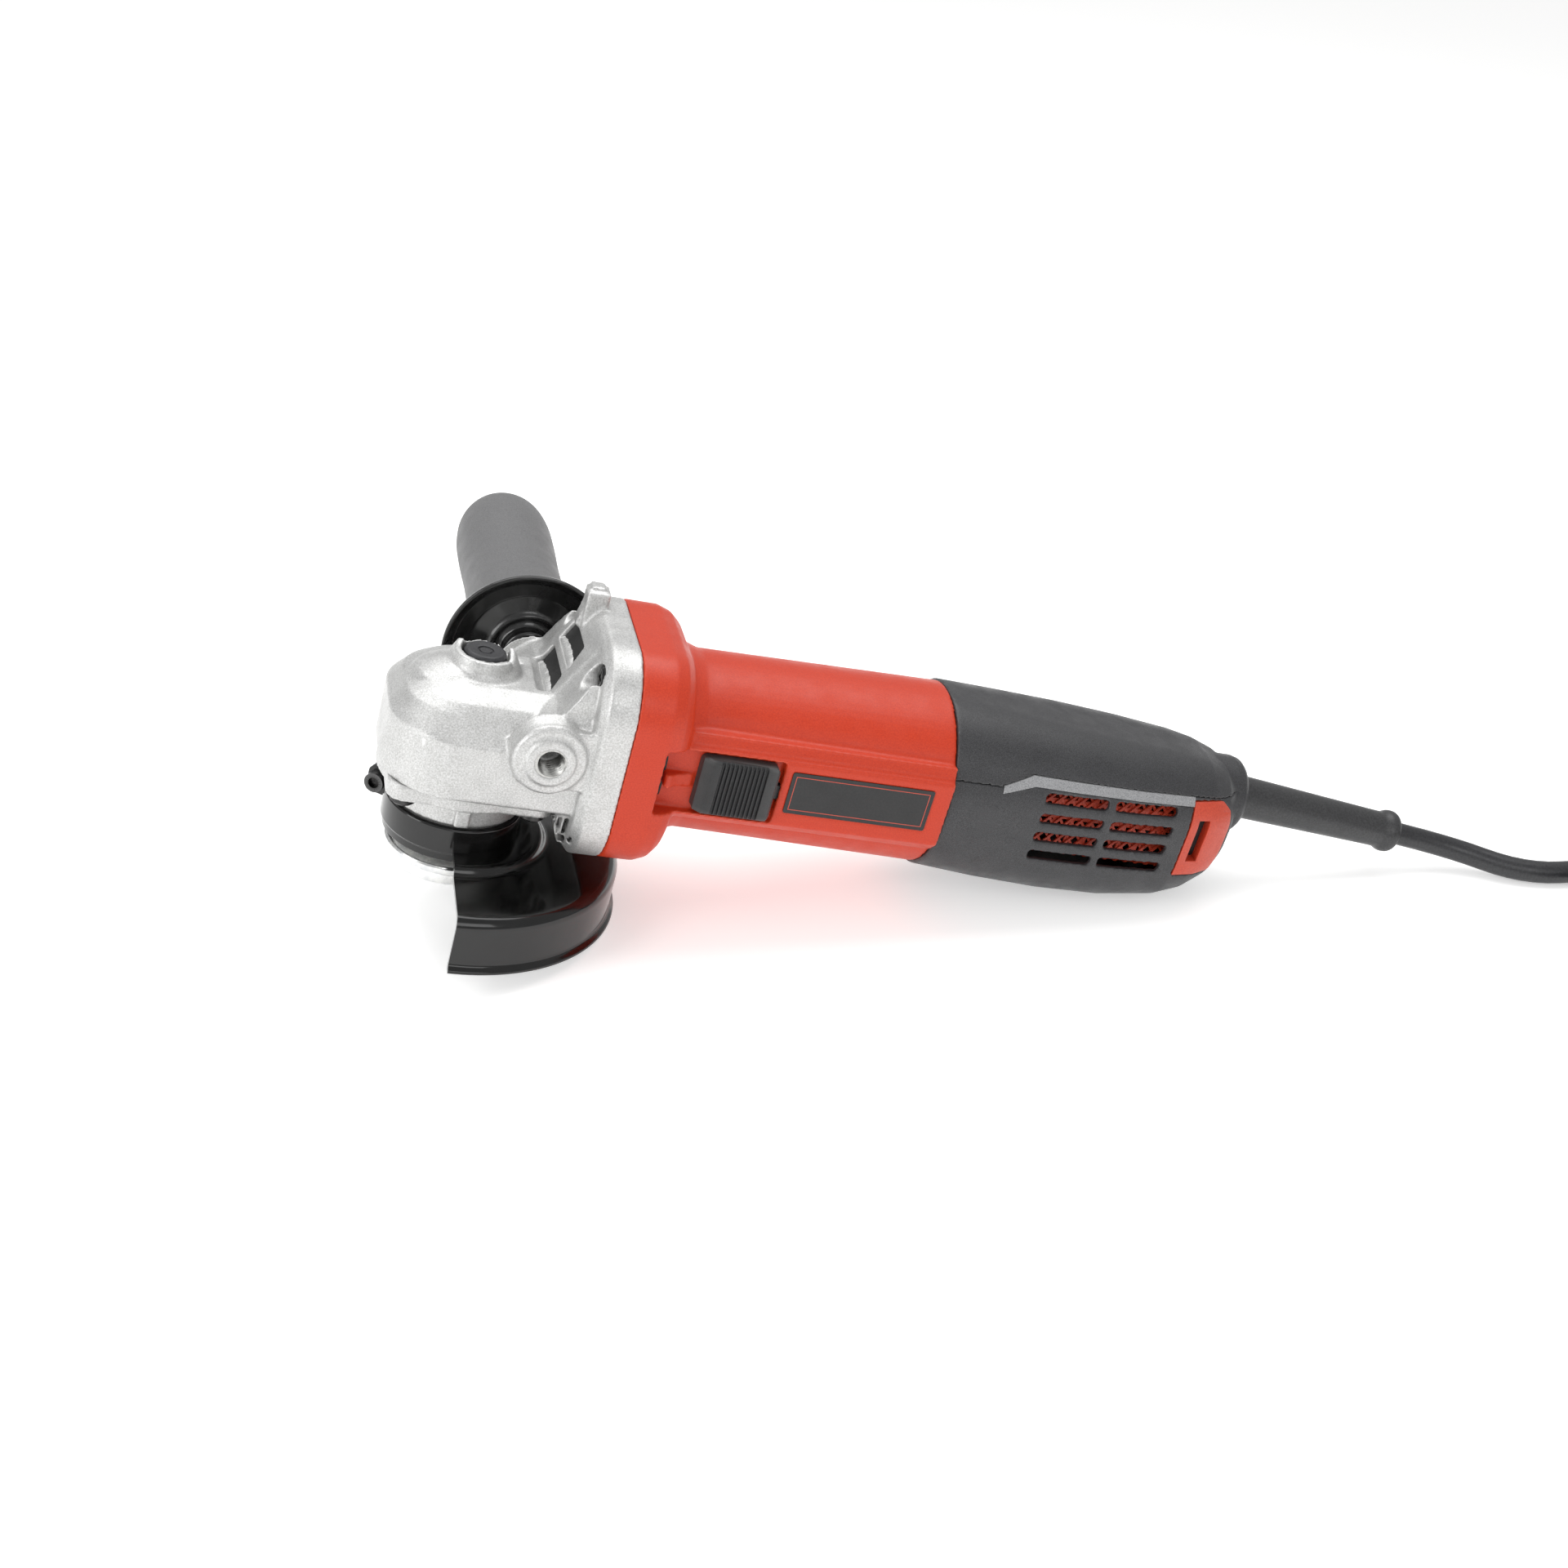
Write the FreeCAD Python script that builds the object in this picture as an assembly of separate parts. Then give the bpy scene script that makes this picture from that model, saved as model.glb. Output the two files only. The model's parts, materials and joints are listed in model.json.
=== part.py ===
import FreeCAD, Part
import math
import os

os.makedirs("parts", exist_ok=True)

# Angle grinder, 115 mm class. Millimetres.
# The tool is drawn level: the spindle axis is the Z axis at X = 0, the motor axis runs along +X,
# Z = 0 is the top edge of the guard's clamp band. At the end everything is tipped to its resting attitude.

# ---- overall sizes ----
MOTOR_Z = 35.5          # height of the motor axis
HEAD_HALF = 33.0        # half width of the gear head
HEAD_FRONT = -30.0      # nose of the gear head
HEAD_FLOOR = 16.0       # joint between gear housing and gearbox cover
COVER_BACK = 30.4       # rear edge of the gearbox cover
FLANGE_X0 = 38.0        # front face of the rear flange of the head
FLANGE_X1 = 48.0        # joint between head and motor housing
FLANGE_HALF_Y = 39.0
FLANGE_HALF_Z = 39.5
FLANGE_ROUND = 22.0
BARREL_R0 = 31.8        # motor housing, front
BARREL_R1 = 33.3        # motor housing, rear
BARREL_BORE = 28.7
SEAM_X = 166.0          # joint between motor housing and rear handle
HANDLE_END = 284.0
HANDLE_WALL = 2.6

# ---- fits ----
RUN = 0.05              # radial clearance of running fits
SLIP = 0.30             # gap between faces that pass each other
TOUCH = 0.10            # gap between a moving face and the face it rests on

# ---- spindle train ----
SPINDLE_R = 7.5
SEAT_R = 6.0
THREAD_R = 7.0
JOURNAL_R = 5.0
SPINDLE_BOTTOM = -30.0
SPINDLE_TOP = 44.0
SHOULDER_Z = -14.0
BRG_A_R = 16.0          # spindle bearing 12 x 32 x 10
BRG_A_W = 10.0
BRG_A_Z = 6.0
CROWN_TEETH = 36
PINION_TEETH = 12
CROWN_R = 22.0          # outer pitch radius of the crown gear
FACE_W = 8.0
LOCK_HEX = 5.0          # across flats of the lock pin tip
CAP_R = 7.4
CAP_TOP = 58.0

# ---- armature ----
SHAFT_R = 6.0
BRG_B_R = 15.0          # front bearing 10 x 30 x 9
BRG_B_W = 9.0
BRG_B_X = 26.5
BRG_C_R = 11.0          # rear bearing 8 x 22 x 7
BRG_C_W = 7.0
BRG_C_X = 155.0
CORE_X0 = 76.0
CORE_X1 = 124.0
CORE_R = 16.5
CORE_BOLT_Z = 23.5      # the stator's bolts, above and below the motor axis
STATOR_BORE = 17.2
FAN_R = 27.0

# ---- guard ----
NECK_R = 21.5
BAND_R = 24.3
BAND_H = 10.2
GUARD_R = 62.0
GUARD_T = 1.6
GUARD_TOP = -11.8
GUARD_BOTTOM = -32.0
GUARD_LIP = 2.0

# ---- side handle ----
SIDE_X = 22.3
SIDE_Z = 38.5
BOSS_Y = 39.75
BOSS_R = 7.9
STUD_R = 5.0
TAP_R = 4.25
DISC_R = 31.3
GRIP_R = 19.0
GRIP_END = 164.0

# ---- slide switch ----
SLIDER_X0 = 74.0
SLIDER_X1 = 101.5
SLIDER_Z0 = 25.5
SLIDER_Z1 = 46.5
SLIDE_TRAVEL = 7.0      # forward, to on
BAND_FACE = 34.5        # half width over the flat side bands of the motor housing
RECESS_Y = -31.1        # bottom of the switch recess
RECESS_X0 = SLIDER_X0 - SLIDE_TRAVEL - 6.5
RECESS_X1 = SLIDER_X1 + 2.0

# ---- dust filters ----
FILTER_IN = 21.4        # inner face of the filter plates, from the middle plane
FILTER_T = 1.5
FILTER_X0 = 196.0       # front edge of the plates
FILTER_Z0 = 21.2
FILTER_Z1 = 51.0
CLIP_X = 262.0          # the clips fill the end of the slots from here back

# ---- cord ----
CORD_R = 4.4
NECK_Z = 43.5


def V(x, y, z):
    return FreeCAD.Vector(x, y, z)


def box(x0, x1, y0, y1, z0, z1):
    return Part.makeBox(x1 - x0, y1 - y0, z1 - z0, V(x0, y0, z0))


def cyl(axis, p, length, r):
    d = {"x": V(1, 0, 0), "y": V(0, 1, 0), "z": V(0, 0, 1)}[axis]
    return Part.makeCylinder(r, length, V(*p), d)


def tube(axis, p, length, r_out, r_in):
    return cyl(axis, p, length, r_out).cut(cyl(axis, p, length, r_in))


def cone(axis, p, length, r0, r1):
    d = {"x": V(1, 0, 0), "y": V(0, 1, 0), "z": V(0, 0, 1)}[axis]
    return Part.makeCone(r0, r1, length, V(*p), d)


def poly(points):
    return Part.Wire(Part.makePolygon([V(*p) for p in points] + [V(*points[0])]))


def prism_y(points, y0, y1):
    """Polygon given as (x, z), drawn out from y0 to y1."""
    face = Part.Face(poly([(x, y0, z) for x, z in points]))
    return face.extrude(V(0, y1 - y0, 0))


def prism_x(points, x0, x1):
    """Polygon given as (y, z), drawn out from x0 to x1."""
    face = Part.Face(poly([(x0, y, z) for y, z in points]))
    return face.extrude(V(x1 - x0, 0, 0))


def prism_z(points, z0, z1):
    face = Part.Face(poly([(x, y, z0) for x, y in points]))
    return face.extrude(V(0, 0, z1 - z0))


def spin(profile, axis, origin):
    """Closed (radius, height) profile turned about an axis through origin."""
    ox, oy, oz = origin
    if axis == "z":
        pts = [(ox + r, oy, oz + h) for r, h in profile]
        d = V(0, 0, 1)
    elif axis == "y":
        pts = [(ox + r, oy + h, oz) for r, h in profile]
        d = V(0, 1, 0)
    else:
        pts = [(ox + h, oy + r, oz) for r, h in profile]
        d = V(1, 0, 0)
    return Part.Face(poly(pts)).revolve(V(*origin), d, 360)


def rounded_x(x, hy, z0, z1, r):
    """Rounded rectangle wire in the plane X = x."""
    yc = hy - r
    za = z0 + r
    zb = z1 - r
    k = r * math.sqrt(0.5)
    edges = [Part.LineSegment(V(x, -yc, z1), V(x, yc, z1)).toShape()]
    edges.append(Part.Arc(V(x, yc, z1), V(x, yc + k, zb + k), V(x, hy, zb)).toShape())
    edges.append(Part.LineSegment(V(x, hy, zb), V(x, hy, za)).toShape())
    edges.append(Part.Arc(V(x, hy, za), V(x, yc + k, za - k), V(x, yc, z0)).toShape())
    edges.append(Part.LineSegment(V(x, yc, z0), V(x, -yc, z0)).toShape())
    edges.append(Part.Arc(V(x, -yc, z0), V(x, -yc - k, za - k), V(x, -hy, za)).toShape())
    edges.append(Part.LineSegment(V(x, -hy, za), V(x, -hy, zb)).toShape())
    edges.append(Part.Arc(V(x, -hy, zb), V(x, -yc - k, zb + k), V(x, -yc, z1)).toShape())
    return Part.Wire(edges)


def rounded_prism_x(x0, x1, hy, z0, z1, r):
    return Part.Face(rounded_x(x0, hy, z0, z1, r)).extrude(V(x1 - x0, 0, 0))


def nose_z(z, front, half, r, back):
    """Plan outline of the head at height z: rounded nose, straight sides."""
    k = r * (1 - math.sqrt(0.5))
    pts = [V(back, -half, z), V(front + r, -half, z), V(front, -half + r, z)]
    pts += [V(front, half - r, z), V(front + r, half, z), V(back, half, z)]
    edges = [Part.LineSegment(pts[0], pts[1]).toShape()]
    edges.append(Part.Arc(pts[1], V(front + k, -half + k, z), pts[2]).toShape())
    edges.append(Part.LineSegment(pts[2], pts[3]).toShape())
    edges.append(Part.Arc(pts[3], V(front + k, half - k, z), pts[4]).toShape())
    edges.append(Part.LineSegment(pts[4], pts[5]).toShape())
    edges.append(Part.LineSegment(pts[5], pts[0]).toShape())
    return Part.Wire(edges)


def hexagon(across, turn=0.0):
    r = across / math.sqrt(3.0)
    angles = [math.radians(60 * i + turn) for i in range(6)]
    return [(r * math.cos(a), r * math.sin(a)) for a in angles]


def balls(axis, centre, ring_r, ball_r, count):
    out = []
    for i in range(count):
        a = 2 * math.pi * i / count
        u = ring_r * math.cos(a)
        v = ring_r * math.sin(a)
        if axis == "z":
            p = V(centre[0] + u, centre[1] + v, centre[2])
        else:
            p = V(centre[0], centre[1] + u, centre[2] + v)
        out.append(Part.makeSphere(ball_r, p))
    return out


NODES = {}


def node(name, shapes):
    NODES[name] = shapes if isinstance(shapes, list) else [shapes]


MZ = MOTOR_Z
M = (0, 0, MZ)

# =====================================================================================
# Gear housing: die-cast head with its rear flange
# =====================================================================================
sections = [
    nose_z(HEAD_FLOOR, HEAD_FRONT, HEAD_HALF, 25, 40),
    nose_z(37.5, HEAD_FRONT, HEAD_HALF, 25, 40),
    nose_z(44.5, HEAD_FRONT + 4.5, HEAD_HALF - 7.5, 20, 40),
    nose_z(47.5, HEAD_FRONT + 10, HEAD_HALF - 11, 16, 40),
    nose_z(51, HEAD_FRONT + 18, HEAD_HALF - 19, 10, 40),
]
housing = Part.makeLoft(sections, True, True)
shoulder_profile = [(10, 40), (20, 49.5), (24, 51.5), (36.5, 72.5), (40, 73.5), (40, 0), (34, 0),
                    (COVER_BACK + SLIP, 8), (COVER_BACK + SLIP, HEAD_FLOOR), (10, HEAD_FLOOR)]
shoulder = prism_y(shoulder_profile, -31, 31)
shoulder = shoulder.common(rounded_prism_x(0, 60, 31, -3, 73.5, 17))
top_block = prism_y([(18, 46), (23, 51.5), (36.0, 73.0), (40, 73.0), (40, 46)], -13.5, 13.5)
flange_z0 = MZ - FLANGE_HALF_Z
flange_z1 = MZ + FLANGE_HALF_Z
flange = rounded_prism_x(FLANGE_X0, FLANGE_X1, FLANGE_HALF_Y, flange_z0, flange_z1, FLANGE_ROUND)
flange_bevel = Part.makeLoft([
    rounded_x(FLANGE_X0 - 3, FLANGE_HALF_Y - 3.5, flange_z0 + 3.5, flange_z1 - 3.5, FLANGE_ROUND - 3),
    rounded_x(FLANGE_X0, FLANGE_HALF_Y, flange_z0, flange_z1, FLANGE_ROUND),
], True, True)
extras = [shoulder, top_block, flange, flange_bevel]
for s in (-1, 1):
    y0 = -37.0 if s < 0 else 30.0
    extras.append(cyl("y", (SIDE_X, y0, SIDE_Z), 7.0, 13.0))
    extras.append(box(SIDE_X, 40, min(s * 30, s * 36.5), max(s * 30, s * 36.5), SIDE_Z - 11, SIDE_Z + 11))
    if s < 0:
        extras.append(cone("y", (SIDE_X, -BOSS_Y, SIDE_Z), BOSS_Y - 37.0, BOSS_R, BOSS_R + 0.9))
    else:
        extras.append(cone("y", (SIDE_X, 37.0, SIDE_Z), BOSS_Y - 37.0, BOSS_R + 0.9, BOSS_R))
wall_ring = cone("z", (0, 0, 47), 10.5, 12.2, 10.6)
extras.append(wall_ring)
extras.append(box(FLANGE_X0 - 6, FLANGE_X0 + 2, 9, 17, 66, 80.5))
housing = housing.fuse(extras)
# gear room
room = spin([(0, HEAD_FLOOR - 1), (29, HEAD_FLOOR - 1), (29, 34), (19.5, 43.5), (0, 43.5)], "z", (0, 0, 0))
room = room.common(box(-26.5, 24.6, -40, 40, 0, 60))
screw_xy = [(-20.5, -20.5), (-20.5, 20.5), (24.0, -20.5), (24.0, 20.5)]
keep = [cyl("z", (x, y, 0), 60, 5.2) for x, y in screw_xy]
keep.append(cyl("z", (0, 0, 36), 10, 9.5))
room = room.cut(keep[0].fuse(keep[1:]))
chamber = rounded_prism_x(36, FLANGE_X1 + 1, FLANGE_HALF_Y - 4, flange_z0 + 4, flange_z1 - 4, 18)
head_screw_yz = [(-24.0, MZ - 29.5), (-24.0, MZ + 29.5), (24.0, MZ - 29.5), (24.0, MZ + 29.5)]
posts = [cyl("x", (30, y, z), 30, 5.0) for y, z in head_screw_yz]
posts.append(tube("x", (30, 0, MZ), 8, 18.5, 1))
chamber = chamber.cut(posts[0].fuse(posts[1:]))
cuts = [room, chamber]
cuts.append(cyl("x", (BRG_B_X, 0, MZ), 12.5, BRG_B_R))
cuts.append(cyl("x", (20, 0, MZ), 10, 9.6))
# spindle lock: cap pocket, guide bore, bush seat
cuts.append(cyl("z", (0, 0, 49.0), 12, CAP_R + 0.3))
cuts.append(cyl("z", (0, 0, 43), 8, 3.3))
cuts.append(cyl("z", (0, 0, 35), 9.6, 7.0))
cuts.append(box(3.0, 14, -5.5, 5.5, 52.5, 60))
# side handle holes
cuts.append(cyl("y", (SIDE_X, -BOSS_Y - 1, SIDE_Z), 13, TAP_R))
cuts.append(cone("y", (SIDE_X, -BOSS_Y - 0.01, SIDE_Z), 1.0, STUD_R + 0.3, TAP_R))
cuts.append(cyl("y", (SIDE_X, BOSS_Y - 12, SIDE_Z), 13, STUD_R + RUN))
# screw holes
for x, y in screw_xy:
    cuts.append(cyl("z", (x, y, 10), 24, 2.5))
for y, z in head_screw_yz:
    cuts.append(cyl("x", (FLANGE_X0 - 12, y, z), 12, 4.6))
    cuts.append(cyl("x", (FLANGE_X0 - 1, y, z), 12, 2.5))
# air outlets above and below
for z0, z1 in ((53.5, 58.5), (61.5, 66.5)):
    cuts.append(box(18, 36.5, -11, 11, z0, z1))
for y in (-13, 0, 13):
    cuts.append(box(25, 36.5, y - 4, y + 4, 3.0, 12.0))
housing = housing.cut(cuts)
node("gear_housing", housing)

# =====================================================================================
# Gearbox cover with its guard neck
# =====================================================================================
cover = cyl("z", (0, 0, 10), HEAD_FLOOR - 10, 29.3)
ears = [cyl("z", (x, y, 10), HEAD_FLOOR - 10, 6.4) for x, y in screw_xy]
webs = [
    prism_z([(-20.5, -26.9), (24, -26.9), (24, 26.9), (-20.5, 26.9)], 10, HEAD_FLOOR),
    prism_z([(-26.9, -20.5), (COVER_BACK, -20.5), (COVER_BACK, 20.5), (-26.9, 20.5)], 10, HEAD_FLOOR),
]
neck = [
    cone("z", (0, 0, 1.0), 9.0, 23.2, 24.3),
    cyl("z", (0, 0, -13.0), 15, NECK_R),
    box(-2.5, 2.5, -25.8, -20, 2.0, 8.5),
]
cover = cover.fuse(ears + webs + neck)
cuts = [cyl("z", (0, 0, BRG_A_Z), 12, BRG_A_R), cyl("z", (0, 0, -14), 22, 9.4), cyl("z", (0, 0, -4), 8, 13.0)]
cuts += [cyl("z", (x, y, 9), 9, 2.5) for x, y in screw_xy]
cover = cover.cut(cuts)
node("gearbox_cover", cover)

screws = []
for x, y in screw_xy:
    shank = cyl("z", (x, y, 10), 18, 2.5)
    screw = cone("z", (x, y, 6.8), 0.9, 3.4, 4.4).fuse([cyl("z", (x, y, 7.7), 2.3, 4.4), shank])
    slot = box(x - 2.6, x + 2.6, y - 0.5, y + 0.5, 6, 8.0)
    cross_slot = box(x - 0.5, x + 0.5, y - 2.6, y + 2.6, 6, 8.0)
    screws.append(screw.cut([slot, cross_slot]))
node("cover_screws", screws)

screws = []
for y, z in head_screw_yz:
    x = FLANGE_X0
    shank = cyl("x", (x, y, z), 24, 2.5)
    screw = cone("x", (x - 3.0, y, z), 0.8, 3.2, 4.2).fuse([cyl("x", (x - 2.2, y, z), 2.2, 4.2), shank])
    slot = box(x - 4, x - 1.8, y - 0.5, y + 0.5, z - 2.5, z + 2.5)
    cross_slot = box(x - 4, x - 1.8, y - 2.5, y + 2.5, z - 0.5, z + 0.5)
    screws.append(screw.cut([slot, cross_slot]))
node("head_screws", screws)

# =====================================================================================
# Spindle, bearings, crown gear, seal
# =====================================================================================
shaft = spin([
    (0, SPINDLE_BOTTOM), (THREAD_R - 1, SPINDLE_BOTTOM), (THREAD_R, SPINDLE_BOTTOM + 1),
    (THREAD_R, SHOULDER_Z),
    (9.0, SHOULDER_Z), (9.0, -11.0), (SPINDLE_R, -11.0), (SPINDLE_R, BRG_A_Z), (SEAT_R, BRG_A_Z),
    (SEAT_R, 28.4),
    (SEAT_R - 0.6, 28.4), (SEAT_R - 0.6, 29.6), (SEAT_R, 29.6), (SEAT_R, 31.0), (JOURNAL_R, 32.0),
    (JOURNAL_R, SPINDLE_TOP), (0, SPINDLE_TOP),
], "z", (0, 0, 0))
socket = prism_z(hexagon(LOCK_HEX + 0.4, 0), SPINDLE_TOP - 5, SPINDLE_TOP + 1)
socket = socket.fuse(prism_z(hexagon(LOCK_HEX + 0.4, 30), SPINDLE_TOP - 5, SPINDLE_TOP + 1))
shaft = shaft.cut(socket)
node("spindle", shaft)
node("spindle_bearing_outer", tube("z", (0, 0, BRG_A_Z), BRG_A_W, BRG_A_R, 13.2).cut(
    Part.makeTorus(11.0, 2.75, V(0, 0, BRG_A_Z + BRG_A_W / 2))))
node("spindle_bearing_inner", tube("z", (0, 0, BRG_A_Z), BRG_A_W, 8.8, SEAT_R).cut(
    Part.makeTorus(11.0, 2.75, V(0, 0, BRG_A_Z + BRG_A_W / 2))))
node("spindle_bearing_balls", balls("z", (0, 0, BRG_A_Z + BRG_A_W / 2), 11.0, 2.7, 9))
node("spindle_bush", tube("z", (0, 0, 36.4), 8.2, 7.0, JOURNAL_R + RUN))
node("dust_seal", tube("z", (0, 0, -4), 8, 13.0, SPINDLE_R + RUN))
node("gear_circlip", tube("z", (0, 0, 28.5), 1.0, 8.6, SEAT_R - 0.6))

# Bevel pair: the pitch cones meet where the two axes cross.
pinion_r = CROWN_R * PINION_TEETH / CROWN_TEETH
crown_z = MZ - pinion_r
r_in = CROWN_R - FACE_W
taper = r_in / CROWN_R
apex = (0, 0, MZ)
ADD = 0.75              # tooth height above the pitch cone at the outer end
DED = 1.25              # tooth depth below it
slope = pinion_r / CROWN_R


def cone_wedge(pts_out, scale):
    """Tooth between a section at the outer end and the same section drawn towards the cone apex."""
    inner = [(apex[0] + (x - apex[0]) * scale, apex[1] + (y - apex[1]) * scale, apex[2] + (z - apex[2]) * scale)
             for x, y, z in pts_out]
    return Part.makeLoft([poly(pts_out), poly(inner)], True, True)


def tooth(half_root, half_tip, add, ded, along_z):
    """Trapezoid tooth section at the outer end. along_z: crown gear (teeth up), otherwise pinion."""
    tilt = math.atan(slope)
    way = 1 if along_z else -1
    u = V(way * math.sin(tilt), 0, way * math.cos(tilt))
    base = V(CROWN_R, 0, crown_z)
    lo = base - u * ded
    hi = base + u * add
    return [(lo.x, -half_root, lo.z), (lo.x, half_root, lo.z), (hi.x, half_tip, hi.z),
            (hi.x, -half_tip, hi.z)]


pitch = 2 * math.pi * CROWN_R / CROWN_TEETH
crown_body = spin([
    (SEAT_R, 17.2), (15.0, 17.2), (21.5, 22.0), (CROWN_R + 1.1, crown_z - DED - 0.6),
    (CROWN_R + 0.55, crown_z - DED * 0.95),
    (r_in + 0.35, MZ - pinion_r * taper - DED * taper * 0.95), (r_in - 1.2, 28.4), (SEAT_R, 28.4),
], "z", (0, 0, 0))
teeth = []
section = tooth(0.30 * pitch, 0.11 * pitch, ADD, DED + 0.25, True)
first = cone_wedge(section, taper)
for i in range(CROWN_TEETH):
    t = first.copy()
    t.rotate(V(0, 0, 0), V(0, 0, 1), 360.0 * i / CROWN_TEETH)
    teeth.append(t)
crown = crown_body.multiFuse(teeth)
crown = crown.cut(cyl("z", (0, 0, 16), 14, SEAT_R))
node("crown_gear", crown)

pinion_body = spin([
    (0, r_in - 0.6), (pinion_r * taper - DED * taper, r_in - 0.6), (pinion_r * taper - DED * taper, r_in),
    (pinion_r - DED, CROWN_R), (pinion_r - DED, CROWN_R + 0.3), (6.4, CROWN_R + 0.3), (6.4, BRG_B_X),
    (0, BRG_B_X),
], "x", M)
teeth = []
section = tooth(0.29 * pitch, 0.12 * pitch, ADD, DED + 0.25, False)
first = cone_wedge(section, taper)
first.rotate(V(*M), V(1, 0, 0), 180.0 / PINION_TEETH)
for i in range(PINION_TEETH):
    t = first.copy()
    t.rotate(V(*M), V(1, 0, 0), 360.0 * i / PINION_TEETH)
    teeth.append(t)
pinion = pinion_body.multiFuse(teeth)
pinion = pinion.cut(cyl("x", (0, 0, MZ), 40, 3.4))
node("bevel_pinion", pinion)

# =====================================================================================
# Spindle lock
# =====================================================================================
cap_low = CAP_TOP - 4.6
cap = spin([(0, CAP_TOP - 0.5), (2.2, CAP_TOP - 0.5), (2.2, CAP_TOP), (CAP_R - 0.8, CAP_TOP),
            (CAP_R, CAP_TOP - 0.8),
            (CAP_R, cap_low), (5.9, cap_low), (5.9, CAP_TOP - 2.2), (0, CAP_TOP - 2.2)], "z", (0, 0, 0))
cap = cap.cut(cyl("z", (0, 0, CAP_TOP - 3), 1.6, 3.0))
node("lock_button", cap)
pin_low = SPINDLE_TOP + 0.5
pin_shank = cyl("z", (0, 0, pin_low + 4.6), CAP_TOP - 6.0 - pin_low, 3.0)
pin = prism_z(hexagon(LOCK_HEX, 0), pin_low, pin_low + 5).fuse(pin_shank)
node("lock_pin", pin)
coil_r = 4.55
wire_r = 0.4
spring_low = 49.0 + wire_r
spring_high = CAP_TOP - 2.2 - wire_r
helix = Part.makeHelix((spring_high - spring_low) / 4.0, spring_high - spring_low, coil_r)
helix.translate(V(0, 0, spring_low))
start = helix.Edges[0].valueAt(helix.Edges[0].FirstParameter)
ring = Part.Wire(Part.makeCircle(wire_r, start, V(0, 1, 0.2)))
spring = Part.Wire(helix.Edges).makePipeShell([ring], True, True)
node("lock_spring", spring)

# =====================================================================================
# Wheel flanges
# =====================================================================================
inner = spin([
    (THREAD_R + RUN, SHOULDER_Z), (THREAD_R + RUN, -21.5), (11.1, -21.5), (11.1, -20.0), (21.0, -20.0),
    (21.0, -17.2),
    (14.0, SHOULDER_Z),
], "z", (0, 0, 0))
node("inner_flange", inner)
nut = spin([(THREAD_R + RUN, -22.3), (THREAD_R + RUN, -29.0), (12.0, -29.0), (12.0, -25.6), (20.0, -24.6),
            (20.0, -20.1),
            (11.4, -20.1), (11.4, -22.3)], "z", (0, 0, 0))
for i in range(4):
    a = math.radians(45 + 90 * i)
    nut = nut.cut(cyl("z", (15.5 * math.cos(a), 15.5 * math.sin(a), -30), 12, 2.5))
node("flange_nut", nut)

# =====================================================================================
# Wheel guard: collar band, stepped plate, half skirt with rolled lip
# =====================================================================================
t = GUARD_T
R = GUARD_R
inner_r = NECK_R + TOUCH
collar = spin([(inner_r, 0), (BAND_R, 0), (BAND_R, -BAND_H), (BAND_R - 0.9, -BAND_H), (BAND_R - 0.9, -13.3),
               (inner_r, -13.3)], "z", (0, 0, 0))
shell = spin([
    (inner_r + 0.6, GUARD_TOP + 3.0), (33.0, GUARD_TOP + 3.0), (35.0, GUARD_TOP), (R - 3.0, GUARD_TOP),
    (R - 0.9, GUARD_TOP - 0.9), (R, GUARD_TOP - 3.0), (R, GUARD_BOTTOM + 2.2),
    (R + GUARD_LIP, GUARD_BOTTOM + 1.2), (R + GUARD_LIP, GUARD_BOTTOM),
    (R - t, GUARD_BOTTOM), (R - t, GUARD_TOP - 3.4), (R - 3.6, GUARD_TOP - t), (34.2, GUARD_TOP - t),
    (32.2, GUARD_TOP + 3.0 - t), (inner_r + 0.6, GUARD_TOP + 3.0 - t),
], "z", (0, 0, 0))
half = box(-0.6, 80, -80, 80, -40, 20)
guard = collar.fuse(shell.common(half))
guard = guard.removeSplitter()
CLAMP_A = 150.0         # where the band's split and ears are, degrees from +X
ear = box(BAND_R - 1.6, BAND_R + 7.5, -3.2, 3.2, -9.2, 0.4)
ear = ear.cut(cyl("y", (BAND_R + 3.6, -5, -4.0), 10, 2.6))
ear.rotate(V(0, 0, 0), V(0, 0, 1), CLAMP_A)
split = box(NECK_R - 2, BAND_R + 9, -1.0, 1.0, -15, 5)
split.rotate(V(0, 0, 0), V(0, 0, 1), CLAMP_A)
guard = guard.fuse(ear).cut(split)
node("wheel_guard", guard)
bolt = cyl("y", (BAND_R + 3.6, 3.2, -4.0), 3.2, 3.6).fuse(cyl("y", (BAND_R + 3.6, -9.0, -4.0), 12.3, 2.5))
bolt = bolt.cut(cyl("y", (BAND_R + 3.6, 5.0, -4.0), 3, 2.0))
bolt.rotate(V(0, 0, 0), V(0, 0, 1), CLAMP_A)
node("guard_clamp_screw", bolt)
pts = [(BAND_R + 3.6 + x, -4.0 + z) for x, z in hexagon(7.0, 30)]
cnut = prism_y(pts, -7.4, -3.2).cut(cyl("y", (BAND_R + 3.6, -10, -4.0), 12, 2.5))
cnut.rotate(V(0, 0, 0), V(0, 0, 1), CLAMP_A)
node("guard_clamp_nut", cnut)

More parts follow.
